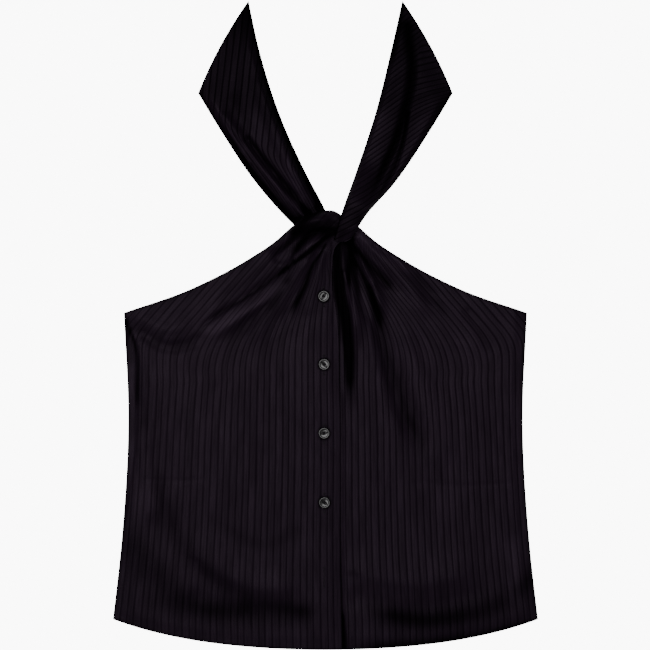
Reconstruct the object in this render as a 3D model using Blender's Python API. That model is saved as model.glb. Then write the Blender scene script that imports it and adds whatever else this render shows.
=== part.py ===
"""A sleeveless halter neck top in ribbed satin with a twisted knot, laid flat on its back, front up.

Lengths are worked out in millimetres and the meshes are built in metres. The origin is the middle of the patch
of floor that the top covers, +X runs to the right as the front is seen from above, +Y from the hem to the neck
and +Z up off the floor.

The two fronts button over each other down the middle. Each front is cut in one with its neck strap. The fronts
are drawn together at the breast bone and hooked through each other there, so the left front rolls up to the
right, under the foot of the right strap, and turns back as the left strap. Each strap is doubled over at the
top of the shoulder, and its other half lies underneath.
"""

import math
from collections import namedtuple

import bmesh
import bpy
import numpy as np

MM = 0.001

# The whole garment
HALF_LENGTH = 330.8  # from the middle to the hem, and to the tips of the straps
HEM_BOW = 21.9  # how far the hem curves up from its middle to its corners
HEM_KICK = 9.3  # and how much further close to the corners
HEM_CORNER_Y = HEM_BOW + HEM_KICK - HALF_LENGTH
UNDERARM_Y = 12.6
BACK_DIP = 8.0  # the middle of the back's top edge lies this much below the underarms

# The cloth and how it is layered
CLOTH = 1.0  # one wall of cloth, without its ribs
SEAM_GAP = 0.3  # between pieces that are sewn together or lie on each other
BACK_CLOTH = 1.2
STRAP_THICKNESS = 2.4  # two layers of cloth pressed together
EDGE_SPLIT = 0.6  # how far the groove between a strap's layers goes in
FRONT_REST = BACK_CLOTH + SEAM_GAP  # the height of the fronts' underside on the back
LAP_RISE = CLOTH + SEAM_GAP  # the left front rides over the right one by this much
LAP_WIDTH = 27.0  # how far the right front reaches under the left one
LOFT = 1.8  # air between the fronts and what they lie on
CREASE_ANGLE = 18.0  # faces that meet at more degrees than this are shaded as a crease
EDGE_SETTLE = 14.0  # how far in from the side seams and the hem the loft starts to go down

# Ribs, and the rows of faces along them
FRONT_ROWS = 28
RIB_HEIGHT = 0.6
LEFT_RIBS = 33
RIGHT_RIBS = 33
LEFT_STRAP_RIBS = 11
RIGHT_STRAP_RIBS = 30
RIGHT_STRAP_SLANT = -0.24  # how far up the right strap its ribs run as they cross it, as a share of its length

# The knot
KNOT_X, KNOT_Y = 6.0, 96.0
KNOT_RADIUS = 34.0
KNOT_RISE = 4.5
GATHER_BEND = 2.6  # how suddenly the ribs of a front bend in to the knot
ROLL_BEND = 4.2  # the same for the ribs that run along the roll
ROLL_REST = STRAP_THICKNESS + 1.1  # the roll's underside where it lies on the end of the left strap
ROLL_ROUND = 3.0  # how far the roll turns down at its upper edge
LOOP_REST = 16.2  # the underside of the right strap's foot, where it passes over the roll
LOOP_GAP = 0.9  # between the right strap's gathered foot and what it lies on
LOOP_BULGE = 3.0  # extra thickness of the gathered foot of the right strap

# Buttons
BUTTON_DIAMETER = 11.5
BUTTON_HEIGHT = 2.4
BUTTON_PITCH = 70.0
BUTTON_COUNT = 4
TOP_BUTTON_Y = 28.5
BUTTON_X = -1.0
BUTTON_SEGMENTS = 18

BLACK_SATIN = ("black_satin", (0.010, 0.008, 0.011, 1.0), 0.42)  # name, colour, roughness
BLACK_SHELL = ("black_shell", (0.020, 0.018, 0.021, 1.0), 0.18)

Fold = namedtuple("Fold", "start middle end height start_width end_width")

# Side seams: height along the body, half width there
SIDE_SEAM = [
    (HEM_CORNER_Y, 216.6),
    (-220.0, 207.8),
    (-97.0, 201.0),
    (UNDERARM_Y, 205.4),
]

# Edge of the left front where it laps over the right one: height along the body, x
OPENING_EDGE = [
    (-HALF_LENGTH, 17.0),
    (-250.0, 15.2),
    (-57.0, 14.2),
    (15.0, 10.6),
    (35.0, 7.2),
    (83.0, 8.2),
]

# How the opening edge swings to the right as it joins the roll: height along the body, distance
EDGE_SWING = [(70.0, 0.0), (80.0, 2.6), (88.5, 10.8), (112.0, 34.0)]

# Armhole, from the knot down to the underarm: half width, height along the body
ARMHOLE = [
    (31.8, 102.2),
    (50.0, 86.2),
    (74.4, 69.8),
    (136.6, 37.1),
    (205.4, UNDERARM_Y),
]

# Upper edge of the roll, from the armhole to where it turns under the right strap: x, height along the body
ROLL_EDGE = [(-21.3, 109.6), (-11.0, 114.2), (0.0, 116.8), (9.0, 116.4), (18.5, 110.5)]
ROLL_FOOT = (19.0, 88.5)  # lower corner of the roll's end

# How the ribs of a front are shared out along its top edge: share of the front's width, x of the edge there
LEFT_TOP_SHARES = [(0.0, -205.4), (0.25, -114.0), (0.42, -60.0), (0.52, -28.0), (0.64, 18.5)]
RIGHT_TOP_SHARES = [(0.42, 31.0), (0.56, 60.0), (0.75, 114.0), (1.0, 205.4)]
RIGHT_GATHER_FOOT = (5.0, 82.0)  # the inner corner of the right front's gathers, under the knot

# Folds: the points that each runs through, its height (a trough is negative) and its half widths at the ends
LEFT_FOLDS = [
    Fold((-31.0, 76.0), (-66.0, 41.0), (-137.0, -8.0), -4.4, 5.0, 9.0),
    Fold((-25.0, 65.0), (-60.0, 31.0), (-122.0, -14.0), 4.2, 6.5, 14.0),
    Fold((-42.0, 85.0), (-77.0, 52.0), (-137.0, 20.0), 3.6, 8.0, 14.0),
    Fold((-22.0, 64.0), (-50.0, 24.0), (-80.0, -24.0), -2.4, 4.0, 9.0),
    Fold((-17.0, 71.0), (-41.0, 32.0), (-64.0, -18.0), 3.2, 5.0, 11.0),
    Fold((-7.0, 74.0), (-27.0, 40.0), (-42.0, -6.0), -2.8, 4.0, 8.0),
    Fold((-50.0, 82.0), (-14.0, 106.0), (20.0, 100.0), 4.5, 6.5, 7.0),
    Fold((-46.0, 70.0), (-16.0, 93.0), (12.0, 97.0), -4.0, 4.5, 4.5),
    Fold((-40.0, 60.0), (-14.0, 82.0), (12.0, 90.0), 3.4, 5.0, 5.0),
    Fold((-203.0, 8.0), (-195.0, -30.0), (-192.0, -98.0), -1.8, 4.0, 5.0),
    Fold((-200.0, -2.0), (-179.0, -98.0), (-134.0, -240.0), -2.0, 9.0, 18.0),
    Fold((-189.0, -20.0), (-187.0, -108.0), (-170.0, -220.0), 2.2, 8.0, 13.0),
    Fold((-178.0, -14.0), (-153.0, -26.0), (-112.0, -24.0), -2.0, 8.0, 9.0),
    Fold((-168.0, -220.0), (-116.0, -262.0), (-82.0, -287.0), -2.2, 10.0, 10.0),
    Fold((-128.0, -245.0), (-71.0, -266.0), (-18.0, -266.0), 3.0, 14.0, 12.0),
    Fold((-138.0, -279.0), (-76.0, -292.0), (-22.0, -288.0), -2.4, 9.0, 8.0),
]
RIGHT_FOLDS = [
    Fold((15.5, 78.0), (17.5, 25.0), (22.0, -77.0), -5.0, 5.0, 6.0),
    Fold((23.0, 80.0), (28.0, 35.0), (34.0, -26.0), 4.2, 3.6, 8.0),
    Fold((27.0, 84.0), (40.0, 37.0), (55.0, -26.0), -3.4, 3.4, 8.0),
    Fold((30.0, 88.0), (52.0, 40.0), (74.0, -26.0), 4.4, 4.0, 10.0),
    Fold((33.0, 92.0), (62.0, 47.0), (92.0, -16.0), -4.2, 4.0, 9.0),
    Fold((38.0, 92.0), (77.0, 54.0), (128.0, 8.0), 4.2, 6.5, 14.0),
    Fold((51.0, 15.0), (82.0, -71.0), (123.0, -169.0), -2.8, 9.0, 13.0),
    Fold((41.0, 0.0), (61.0, -77.0), (87.0, -159.0), 2.8, 9.0, 15.0),
    Fold((46.0, -256.0), (97.0, -261.0), (158.0, -245.0), 3.0, 13.0, 13.0),
    Fold((41.0, -279.0), (76.0, -288.0), (112.0, -282.0), -2.4, 9.0, 9.0),
    Fold((107.0, -281.0), (138.0, -273.0), (170.0, -264.0), -2.2, 8.0, 9.0),
]
LEFT_STRAP_FOLDS = [
    Fold((-102.0, 210.0), (-68.0, 168.0), (-34.0, 124.0), 2.4, 6.0, 5.0),
    Fold((-72.0, 180.0), (-40.0, 142.0), (-24.0, 120.0), -1.8, 6.0, 4.0),
    Fold((-66.0, 240.0), (-38.0, 165.0), (-12.0, 128.0), 2.2, 9.0, 6.0),
]
RIGHT_STRAP_FOLDS = [
    Fold((90.0, 292.0), (80.0, 218.0), (44.0, 136.0), -1.8, 8.0, 5.0),
    Fold((70.0, 290.0), (56.0, 215.0), (30.0, 136.0), 2.4, 9.0, 7.0),
    Fold((108.0, 240.0), (84.0, 188.0), (52.0, 140.0), 2.1, 9.0, 5.0),
]

# Straps: the points that each edge runs through, from the knot to the fold at the shoulder
LEFT_STRAP_INNER = [(3.0, 110.5), (-1.8, 120.8), (-18.0, 151.4), (-47.3, 216.6), (-67.7, 281.9), (-78.4, 330.8)]
LEFT_STRAP_OUTER = [(-27.5, 98.0), (-32.5, 102.6), (-69.3, 143.2), (-108.0, 200.3), (-129.8, 236.4)]
RIGHT_STRAP_INNER = [(8.5, 87.1), (16.4, 113.6), (29.7, 151.4), (51.1, 216.6), (67.4, 281.9), (78.4, 330.8)]
RIGHT_STRAP_OUTER = [(30.2, 94.2), (39.9, 109.5), (69.3, 143.2), (108.0, 200.3), (129.8, 236.4)]
SHOULDER_BOW = 3.2  # how far the folded top edge of a strap bows outwards
FOOT_BOW = 6.0  # how far the foot of the right strap bows down over the gathers


def ease(share):
    """0 below a share of 0, 1 above a share of 1 and a smooth step between."""
    share = min(1.0, max(0.0, share))
    return share * share * (3.0 - 2.0 * share)


def mix(first, second, share):
    return first + (second - first) * share


def graph(rows):
    """A smooth curve through rows of (x, y) in order of x, as a function of x."""
    xs, ys = (np.array(column, float) for column in zip(*rows))
    slopes = np.gradient(ys, xs)

    def value(x):
        x = min(max(x, xs[0]), xs[-1])
        row = min(int(np.searchsorted(xs, x, side="right")) - 1, len(xs) - 2)
        run = xs[row + 1] - xs[row]
        t = (x - xs[row]) / run
        rise = (2 * t**3 - 3 * t**2 + 1) * ys[row] + (3 * t**2 - 2 * t**3) * ys[row + 1]
        return rise + run * ((t**3 - 2 * t**2 + t) * slopes[row] + (t**3 - t**2) * slopes[row + 1])

    return value


def path(points):
    """A smooth curve through the points, as a function of the share of its length."""
    points = np.array(points, float)
    chords = np.linalg.norm(np.diff(points, axis=0), axis=1)
    along = np.concatenate([[0.0], np.cumsum(chords)]) / chords.sum()
    across, up = (graph(list(zip(along, points[:, axis]))) for axis in (0, 1))
    return lambda share: (across(share), up(share))


side_half_width = graph(SIDE_SEAM)
opening_x = graph(OPENING_EDGE)
edge_swing = graph(EDGE_SWING)
left_top_x = graph(LEFT_TOP_SHARES)
right_top_x = graph(RIGHT_TOP_SHARES)
armhole_height = graph(ARMHOLE)
left_edge_height = graph([(-half, y) for half, y in reversed(ARMHOLE)] + ROLL_EDGE)
roll_end_x = graph([(ROLL_FOOT[1], ROLL_FOOT[0]), (ROLL_EDGE[-1][1], ROLL_EDGE[-1][0])])
front_rows = graph([(0.0, 0.0), (0.4, 0.70), (0.7, 0.87), (1.0, 1.0)])
right_strap_rows = graph([(0.0, 0.0), (0.3, 0.15), (1.0, 1.0)])


def left_boundary_x(y):
    """The right-hand edge of the left front: its opening edge, and above that the end of the roll."""
    return roll_end_x(y) if y > ROLL_FOOT[1] else opening_x(y) + edge_swing(y)


def hidden_edge_x(y):
    """The inner edge of the right front, under the lap."""
    return opening_x(y) - LAP_WIDTH


def hem_y(x):
    share = x / side_half_width(HEM_CORNER_Y)
    return -HALF_LENGTH + HEM_BOW * share**2 + HEM_KICK * share**4


class Relief:
    """The height that a list of folds gives to a piece of cloth, at any place on it."""

    SAMPLES = 20

    def __init__(self, folds):
        shares = np.linspace(0.0, 1.0, self.SAMPLES)
        self.lines = []
        for fold in folds:
            start, middle, end = (np.array(p) for p in (fold.start, fold.middle, fold.end))
            bend = 2.0 * middle - (start + end) / 2.0
            t = shares[:, None]
            line = (1 - t) ** 2 * start + 2 * t * (1 - t) * bend + t**2 * end
            widths = mix(fold.start_width, fold.end_width, shares)
            fade = np.array([ease(4.0 * (1.0 - share)) for share in shares])
            self.lines.append((line, widths, fold.height * fade))

    def __call__(self, x, y):
        total = 0.0
        for line, widths, heights in self.lines:
            away = np.hypot(line[:, 0] - x, line[:, 1] - y) / widths
            near = int(away.argmin())
            total += heights[near] * math.exp(-away[near] ** 2)
        return total


left_relief = Relief(LEFT_FOLDS)
right_relief = Relief(RIGHT_FOLDS)


def knot_rise(x, y):
    """The heap of gathered cloth under the knot."""
    away = math.hypot(x - KNOT_X, y - KNOT_Y) / KNOT_RADIUS
    return KNOT_RISE * math.exp(-away * away)


def loft(x, y):
    """The air under a front, which goes down to the side seams and the hem."""
    from_side = side_half_width(y) - abs(x)
    from_hem = y - hem_y(x)
    return LOFT * ease(from_side / EDGE_SETTLE) * mix(0.3, 1.0, ease(from_hem / EDGE_SETTLE))


def floor_of_fronts(y):
    """The underside of a front: on the back below the underarms, and on the floor above its top edge."""
    return FRONT_REST * (1.0 - ease((y - UNDERARM_Y - 2.0) / 20.0))


def lift(relief):
    """The relief with its deepest troughs levelled off where the cloth meets what it lies on."""
    return (relief + math.hypot(relief, 0.8)) / 2.0


def left_rest(x, y):
    """The height that the left front's underside may not go below."""
    over_lap = LAP_RISE * ease((x - opening_x(y) + LAP_WIDTH + 20.0) / 18.0)
    over_strap = ROLL_REST * ease((y - left_edge_height(x) + 16.0) / 7.0) * ease((x + 50.0) / 10.0)
    return floor_of_fronts(y) + max(over_lap, over_strap)


def left_height(x, y):
    """The upper face of the left front, without its ribs."""
    flat_lap = mix(0.25, 1.0, ease((opening_x(y) - x) / 12.0))
    turned_down = ROLL_ROUND * (1.0 - ease((left_edge_height(x) - y) / 5.0)) * ease((x + 50.0) / 15.0)
    relief = (loft(x, y) + left_relief(x, y)) * flat_lap + knot_rise(x, y) - turned_down
    return left_rest(x, y) + CLOTH + lift(relief)


def clear_of_lap(x, y):
    """0 where the right front lies under the left one and 1 well clear of it."""
    margin = mix(0.5, 3.0, ease((y - 68.0) / 14.0))
    return ease((x - left_boundary_x(y) - margin) / 6.0)


def right_height(x, y):
    """The upper face of the right front, without its ribs."""
    relief = loft(x, y) + right_relief(x, y) + knot_rise(x, y)
    return floor_of_fronts(y) + CLOTH + lift(relief) * clear_of_lap(x, y)


def drawn_in(up, hem_x, top, spread, bend):
    """A place on a front: spread out below the bust, and drawn in to its place on the top edge above it."""
    top_x, top_y = top
    y = mix(hem_y(hem_x), top_y, up)
    return spread(y) + (top_x - spread(top_y)) * max(0.0, (up - 0.45) / 0.55) ** bend, y


def left_front_place(share, up):
    """A place on the left front: share is 0 at the side seam and 1 at the opening."""
    roll_share = LEFT_TOP_SHARES[-1][0]
    if share <= roll_share:
        top_x = left_top_x(share)
        top = (top_x, left_edge_height(top_x))
    else:
        down = (share - roll_share) / (1.0 - roll_share)
        top = tuple(mix(a, b, down) for a, b in zip(ROLL_EDGE[-1], ROLL_FOOT))
    hem_x = mix(-side_half_width(HEM_CORNER_Y), opening_x(-HALF_LENGTH), share)
    bend = mix(GATHER_BEND, ROLL_BEND, max(0.0, share - 0.5) / 0.5)

    def spread(y):
        return mix(-side_half_width(y), opening_x(y), share) + edge_swing(y) * share**4

    return drawn_in(up, hem_x, top, spread, bend)


def right_front_place(share, up):
    """A place on the right front: share is 0 at its hidden inner edge and 1 at the side seam."""
    gather_share, gather_x = RIGHT_TOP_SHARES[0]
    if share >= gather_share:
        top_x = right_top_x(share)
        top = (top_x, armhole_height(top_x))
    else:
        gather_top = (gather_x, armhole_height(gather_x))
        top = tuple(mix(a, b, share / gather_share) for a, b in zip(RIGHT_GATHER_FOOT, gather_top))
    hem_x = mix(hidden_edge_x(-HALF_LENGTH), side_half_width(HEM_CORNER_Y), share)
    return drawn_in(up, hem_x, top, lambda y: mix(hidden_edge_x(y), side_half_width(y), share), GATHER_BEND)


def rib(phase, x, y):
    """The height of a rib, 0 between two ribs, and less where the ribs crowd into the knot."""
    crowded = mix(0.4, 1.0, ease((math.hypot(x - KNOT_X, y - KNOT_Y) - 15.0) / 50.0))
    return RIB_HEIGHT * crowded * (0.5 - 0.5 * math.cos(math.tau * phase))


def slope(height, x, y):
    """How much longer a wall is measured straight down than across, at a place on a surface."""
    step = 0.5
    across = (height(x + step, y) - height(x - step, y)) / (2.0 * step)
    up = (height(x, y + step) - height(x, y - step)) / (2.0 * step)
    return min(2.0, math.sqrt(1.0 + across * across + up * up))


def wall_underside(height, rest, x, y):
    """The underside of one wall of cloth, solid down to what it lies on where it is heaped under the knot."""
    top = height(x, y)
    heaped = 1.0 - ease((math.hypot(x - KNOT_X, y - KNOT_Y) - 22.0) / 14.0)
    return max(rest, mix(top - CLOTH * slope(height, x, y), rest, heaped))


def slab(columns, rows):
    """A closed slab over the unit square, with its upper faces at a height of 1."""
    mesh = bmesh.new()
    bmesh.ops.create_grid(mesh, x_segments=columns, y_segments=rows, size=0.5)
    bmesh.ops.translate(mesh, vec=(0.5, 0.5, 0.0), verts=mesh.verts[:])
    grown = bmesh.ops.extrude_face_region(mesh, geom=mesh.faces[:])["geom"]
    upper = [part for part in grown if isinstance(part, bmesh.types.BMVert)]
    bmesh.ops.translate(mesh, vec=(0.0, 0.0, 1.0), verts=upper)
    bmesh.ops.recalc_face_normals(mesh, faces=mesh.faces[:])
    return mesh


def score(mesh, point, normal):
    """Cuts a line across the upper faces of a slab, where a rib runs."""
    upper = [face for face in mesh.faces if all(vertex.co.z > 0.5 for vertex in face.verts)]
    edges = {edge for face in upper for edge in face.edges}
    corners = {vertex for face in upper for vertex in face.verts}
    bmesh.ops.bisect_plane(mesh, geom=[*corners, *edges, *upper], dist=1e-5, plane_co=point, plane_no=normal)


def score_lengthways(mesh, ribs):
    """Cuts the tops of ribs that run up the slab, midway between its columns."""
    for count in range(ribs):
        score(mesh, ((count + 0.5) / ribs, 0.0, 0.0), (1.0, 0.0, 0.0))


def score_slanting(mesh, ribs, slant):
    """Cuts the tops and the bottoms of ribs that cross the slab, moving up it by slant as they do."""
    for half in range(-2 * ribs, 4 * ribs):
        along = half / (2 * ribs)
        if min(along, along + slant) < 1.0 and max(along, along + slant) > 0.0:
            score(mesh, (0.0, along, 0.0), (-slant, 1.0, 0.0))


def groove_edges(mesh):
    """Draws in a line round the rim of a doubled piece, so that its two layers show."""
    rim = [edge for edge in mesh.edges if abs(edge.verts[0].co.z - edge.verts[1].co.z) > 0.5]
    cut = bmesh.ops.subdivide_edges(mesh, edges=rim, cuts=1)["geom_inner"]
    return [part for part in cut if isinstance(part, bmesh.types.BMVert)]


def shape(mesh, top, underside):
    """Moves the corners of a slab to their places on the cloth, given as functions of its two shares."""
    for vertex in mesh.verts:
        across, up, side = vertex.co
        if side > 0.9:
            vertex.co = top(across, up)
        elif side < 0.1:
            vertex.co = underside(across, up)
        else:
            over, under = np.array(top(across, up)), np.array(underside(across, up))
            middle = (over + under) / 2.0
            inwards = np.array(top(mix(across, 0.5, 0.1), mix(up, 0.5, 0.04)))[:2] - over[:2]
            middle[:2] += inwards / np.linalg.norm(inwards) * EDGE_SPLIT
            vertex.co = middle
    if mesh.calc_volume(signed=True) < 0.0:
        bmesh.ops.reverse_faces(mesh, faces=mesh.faces[:])
    bmesh.ops.scale(mesh, vec=(MM, MM, MM), verts=mesh.verts[:])


def material(name, colour, roughness):
    made = bpy.data.materials.get(name) or bpy.data.materials.new(name)
    made.use_nodes = True
    shader = made.node_tree.nodes["Principled BSDF"]
    shader.inputs["Base Color"].default_value = colour
    shader.inputs["Roughness"].default_value = roughness
    shader.inputs["Metallic"].default_value = 0.0
    return made


def add_object(name, mesh, finish):
    data = bpy.data.meshes.new(name)
    mesh.to_mesh(data)
    mesh.free()
    data.shade_smooth()
    data.set_sharp_from_angle(angle=math.radians(CREASE_ANGLE))
    data.materials.append(material(*finish))
    made = bpy.data.objects.new(name, data)
    bpy.context.scene.collection.objects.link(made)
    return made


def make_back():
    """The back: flat on the floor, from the hem to a shallow curve between the underarms."""

    def place(share, up):
        across = 2.0 * share - 1.0
        hem_x = across * side_half_width(HEM_CORNER_Y)
        top_y = UNDERARM_Y - BACK_DIP * (1.0 - across * across)
        y = mix(hem_y(hem_x), top_y, up)
        return across * side_half_width(y), y

    mesh = slab(16, 7)
    shape(mesh, lambda share, up: (*place(share, up), BACK_CLOTH), lambda share, up: (*place(share, up), 0.0))
    add_object("back", mesh, BLACK_SATIN)


def make_left_front():
    """The front that laps over, with the roll that its gathered top makes."""

    def top(share, up):
        x, y = left_front_place(share, front_rows(up))
        return x, y, left_height(x, y) + rib(share * LEFT_RIBS, x, y)

    def underside(share, up):
        x, y = left_front_place(share, front_rows(up))
        return x, y, wall_underside(left_height, left_rest(x, y), x, y)

    mesh = slab(LEFT_RIBS, FRONT_ROWS)
    score_lengthways(mesh, LEFT_RIBS)
    shape(mesh, top, underside)
    add_object("front_left", mesh, BLACK_SATIN)


def make_right_front():
    """The front that lies under the lap, gathered into the foot of the knot."""

    def top(share, up):
        x, y = right_front_place(share, front_rows(up))
        return x, y, right_height(x, y) + rib(share * RIGHT_RIBS, x, y) * clear_of_lap(x, y)

    def underside(share, up):
        x, y = right_front_place(share, front_rows(up))
        return x, y, wall_underside(right_height, floor_of_fronts(y), x, y)

    mesh = slab(RIGHT_RIBS, FRONT_ROWS)
    score_lengthways(mesh, RIGHT_RIBS)
    shape(mesh, top, underside)
    add_object("front_right", mesh, BLACK_SATIN)


def strap_place(inner, outer, bow):
    """A function for a strap's places: across is 0 at its inner edge, along is 0 at the knot."""
    inner, outer = path(inner), path(outer)

    def place(across, along):
        near, far = np.array(inner(along)), np.array(outer(along))
        run = far - near
        outwards = np.array([-run[1], run[0]]) / np.linalg.norm(run) * math.copysign(1.0, run[0])
        x, y = mix(near, far, across) + outwards * 4.0 * across * (1.0 - across) * bow(along)
        return x, y

    return place


def shoulder_bow(along):
    return SHOULDER_BOW * ease((along - 0.7) / 0.3)


def foot_and_shoulder_bow(along):
    return shoulder_bow(along) - FOOT_BOW * ease((0.16 - along) / 0.16)


def strap_thickness(relief, x, y, across, along):
    """Two layers of cloth with soft folds, flat along the edges and at the shoulder."""
    from_edge = min(across, 1.0 - across)
    crown = 1.2 * ease(3.0 * from_edge) * ease(8.0 * (1.0 - along))
    ridges = relief(x, y) * ease(5.0 * (1.0 - along)) * ease(6.0 * from_edge)
    return STRAP_THICKNESS + lift(crown + ridges) * ease((along - 0.05) / 0.14)


def make_left_strap():
    """The left strap, which comes out from under the roll. Its ribs run along it."""
    place = strap_place(LEFT_STRAP_INNER, LEFT_STRAP_OUTER, shoulder_bow)
    relief = Relief(LEFT_STRAP_FOLDS)

    def top(across, along):
        x, y = place(across, along)
        ribbed = rib(across * LEFT_STRAP_RIBS, x, y) * ease((along - 0.08) / 0.1)
        return x, y, strap_thickness(relief, x, y, across, along) + ribbed

    mesh = slab(LEFT_STRAP_RIBS, 16)
    score_lengthways(mesh, LEFT_STRAP_RIBS)
    groove_edges(mesh)
    shape(mesh, top, lambda across, along: (*place(across, along), 0.0))
    add_object("strap_left", mesh, BLACK_SATIN)


def loop_rest(along):
    """The underside of the right strap, which climbs from the floor over the roll."""
    return LOOP_REST * (1.0 - ease((along - 0.14) / 0.24))


def make_right_strap():
    """The right strap, which lies on the floor and climbs over the roll at its foot. Its ribs cross it."""
    place = strap_place(RIGHT_STRAP_INNER, RIGHT_STRAP_OUTER, foot_and_shoulder_bow)
    relief = Relief(RIGHT_STRAP_FOLDS)

    def underside(across, row):
        along = right_strap_rows(row)
        x, y = place(across, along)
        over_roll = loop_rest(along)
        over_roll_foot = min(over_roll, left_height(x, y) + RIB_HEIGHT + LOOP_GAP)
        over_roll = mix(over_roll, over_roll_foot, ease((ROLL_FOOT[1] + 5.0 - y) / 6.0))
        over_gathers = min(over_roll, right_height(x, y) + RIB_HEIGHT + LOOP_GAP)
        return x, y, mix(over_roll, over_gathers, ease((x - left_boundary_x(y) - 1.5) / 3.0))

    def top(across, row):
        along = right_strap_rows(row)
        x, y = place(across, along)
        gathered = 1.0 - ease((along - 0.10) / 0.25)
        belly = math.sqrt(max(0.0, 1.0 - (2.0 * across - 1.0) ** 2))
        nose = ease((0.06 - along) / 0.06)
        bulge = LOOP_BULGE * gathered * belly * (1.0 - nose) - 3.5 * nose * ease((x - 12.0) / 8.0)
        ribbed = rib((row - RIGHT_STRAP_SLANT * across) * RIGHT_STRAP_RIBS, x, y)
        return x, y, loop_rest(along) + strap_thickness(relief, x, y, across, along) + bulge + ribbed

    mesh = slab(8, 22)
    score_slanting(mesh, RIGHT_STRAP_RIBS, RIGHT_STRAP_SLANT)
    groove_edges(mesh)
    shape(mesh, top, underside)
    add_object("strap_right", mesh, BLACK_SATIN)


def make_buttons():
    """Round shell buttons with a raised rim and a dished middle, turned about their own axes."""
    radius = BUTTON_DIAMETER / 2.0
    profile = [
        (0.0, 0.0),
        (radius * 0.62, 0.0),
        (radius, BUTTON_HEIGHT * 0.45),
        (radius * 0.96, BUTTON_HEIGHT * 0.8),
        (radius * 0.82, BUTTON_HEIGHT),
        (radius * 0.66, BUTTON_HEIGHT * 0.86),
        (radius * 0.4, BUTTON_HEIGHT * 0.62),
        (0.0, BUTTON_HEIGHT * 0.6),
    ]
    for count in range(BUTTON_COUNT):
        y = TOP_BUTTON_Y - count * BUTTON_PITCH
        around = [(BUTTON_X + dx, y + dy) for dx in (-4.0, 0.0, 4.0) for dy in (-4.0, 0.0, 4.0)]
        seat = max(left_height(*place) for place in around) + RIB_HEIGHT
        mesh = bmesh.new()
        points = [mesh.verts.new((x, 0.0, z)) for x, z in profile]
        edges = [mesh.edges.new(pair) for pair in zip(points, points[1:])]
        bmesh.ops.spin(
            mesh,
            geom=points + edges,
            axis=(0.0, 0.0, 1.0),
            cent=(0.0, 0.0, 0.0),
            angle=math.tau,
            steps=BUTTON_SEGMENTS,
            use_merge=True,
        )
        bmesh.ops.remove_doubles(mesh, verts=mesh.verts[:], dist=0.01)
        bmesh.ops.recalc_face_normals(mesh, faces=mesh.faces[:])
        bmesh.ops.scale(mesh, vec=(MM, MM, MM), verts=mesh.verts[:])
        button = add_object(f"button_{count + 1}", mesh, BLACK_SHELL)
        button.location = (BUTTON_X * MM, y * MM, (seat + SEAM_GAP) * MM)


def main():
    for old in list(bpy.data.objects):
        bpy.data.objects.remove(old)
    make_back()
    make_left_front()
    make_right_front()
    make_left_strap()
    make_right_strap()
    make_buttons()


main()
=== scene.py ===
"""A sleeveless halter neck top in ribbed black satin, laid flat on its back with its front up.

The fronts button over each other and are hooked through each other at the breast bone, so each turns into the
neck strap of its side. Lengths on the cloth are in millimetres and the finished meshes in metres. +X runs to
the right as the front is seen from above, +Y from the hem to the neck and +Z up off the floor.
"""

import math
from collections import namedtuple

import bmesh
import bpy
import numpy as np
from mathutils import Matrix


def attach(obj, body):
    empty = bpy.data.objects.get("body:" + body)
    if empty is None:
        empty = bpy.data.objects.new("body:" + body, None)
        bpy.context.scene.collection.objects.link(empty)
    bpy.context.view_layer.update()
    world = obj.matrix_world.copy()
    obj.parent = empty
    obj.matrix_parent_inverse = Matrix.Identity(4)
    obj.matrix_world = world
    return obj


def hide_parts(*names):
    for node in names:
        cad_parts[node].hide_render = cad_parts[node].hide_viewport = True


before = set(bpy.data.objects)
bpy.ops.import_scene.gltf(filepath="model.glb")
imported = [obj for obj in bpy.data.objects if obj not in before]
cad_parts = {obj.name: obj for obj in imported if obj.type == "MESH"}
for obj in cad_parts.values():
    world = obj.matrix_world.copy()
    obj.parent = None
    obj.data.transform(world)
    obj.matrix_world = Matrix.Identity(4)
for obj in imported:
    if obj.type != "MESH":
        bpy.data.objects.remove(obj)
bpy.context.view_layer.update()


# Studio: a plain pale floor, a broad soft light overhead that the satin mirrors, and a long lens that looks
# straight down on the top.
MM = 0.001
FLOOR_DROP = 0.2 * MM
FLOOR_SIZE = 12.0
FLOOR_GLOW = 9.0  # which the camera alone sees, so that the floor shows white and lights nothing
ROOM_LIGHT = 0.22
VIEW_CENTRE = (-0.41 * MM, 0.15 * MM)
VIEW_WIDTH = 663.0 * MM
CAMERA_HEIGHT = 2.6

# Each light: name, place, size, power
LIGHTS = [
    ("overhead_light", (-0.5, 0.42, 3.0), 2.0, 60.0),
    ("edge_light", (-2.2, 1.6, 1.9), 1.4, 8.0),
]

floor_mesh = bmesh.new()
bmesh.ops.create_grid(floor_mesh, x_segments=1, y_segments=1, size=FLOOR_SIZE)
bmesh.ops.translate(floor_mesh, vec=(0.0, 0.0, -FLOOR_DROP), verts=floor_mesh.verts[:])
floor_data = bpy.data.meshes.new("floor")
floor_mesh.to_mesh(floor_data)
floor_mesh.free()
floor_paint = bpy.data.materials.new("floor_paint")
floor_paint.use_nodes = True
floor_tree = floor_paint.node_tree
floor_shader = floor_tree.nodes["Principled BSDF"]
floor_shader.inputs["Base Color"].default_value = (0.8, 0.8, 0.8, 1.0)
floor_shader.inputs["Roughness"].default_value = 0.9
floor_shader.inputs["Emission Color"].default_value = (1.0, 1.0, 1.0, 1.0)
seen = floor_tree.nodes.new("ShaderNodeLightPath")
glow = floor_tree.nodes.new("ShaderNodeMath")
glow.operation = "MULTIPLY"
glow.inputs[1].default_value = FLOOR_GLOW
floor_tree.links.new(seen.outputs["Is Camera Ray"], glow.inputs[0])
floor_tree.links.new(glow.outputs[0], floor_shader.inputs["Emission Strength"])
floor_data.materials.append(floor_paint)
floor = bpy.data.objects.new("floor", floor_data)
bpy.context.scene.collection.objects.link(floor)

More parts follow.
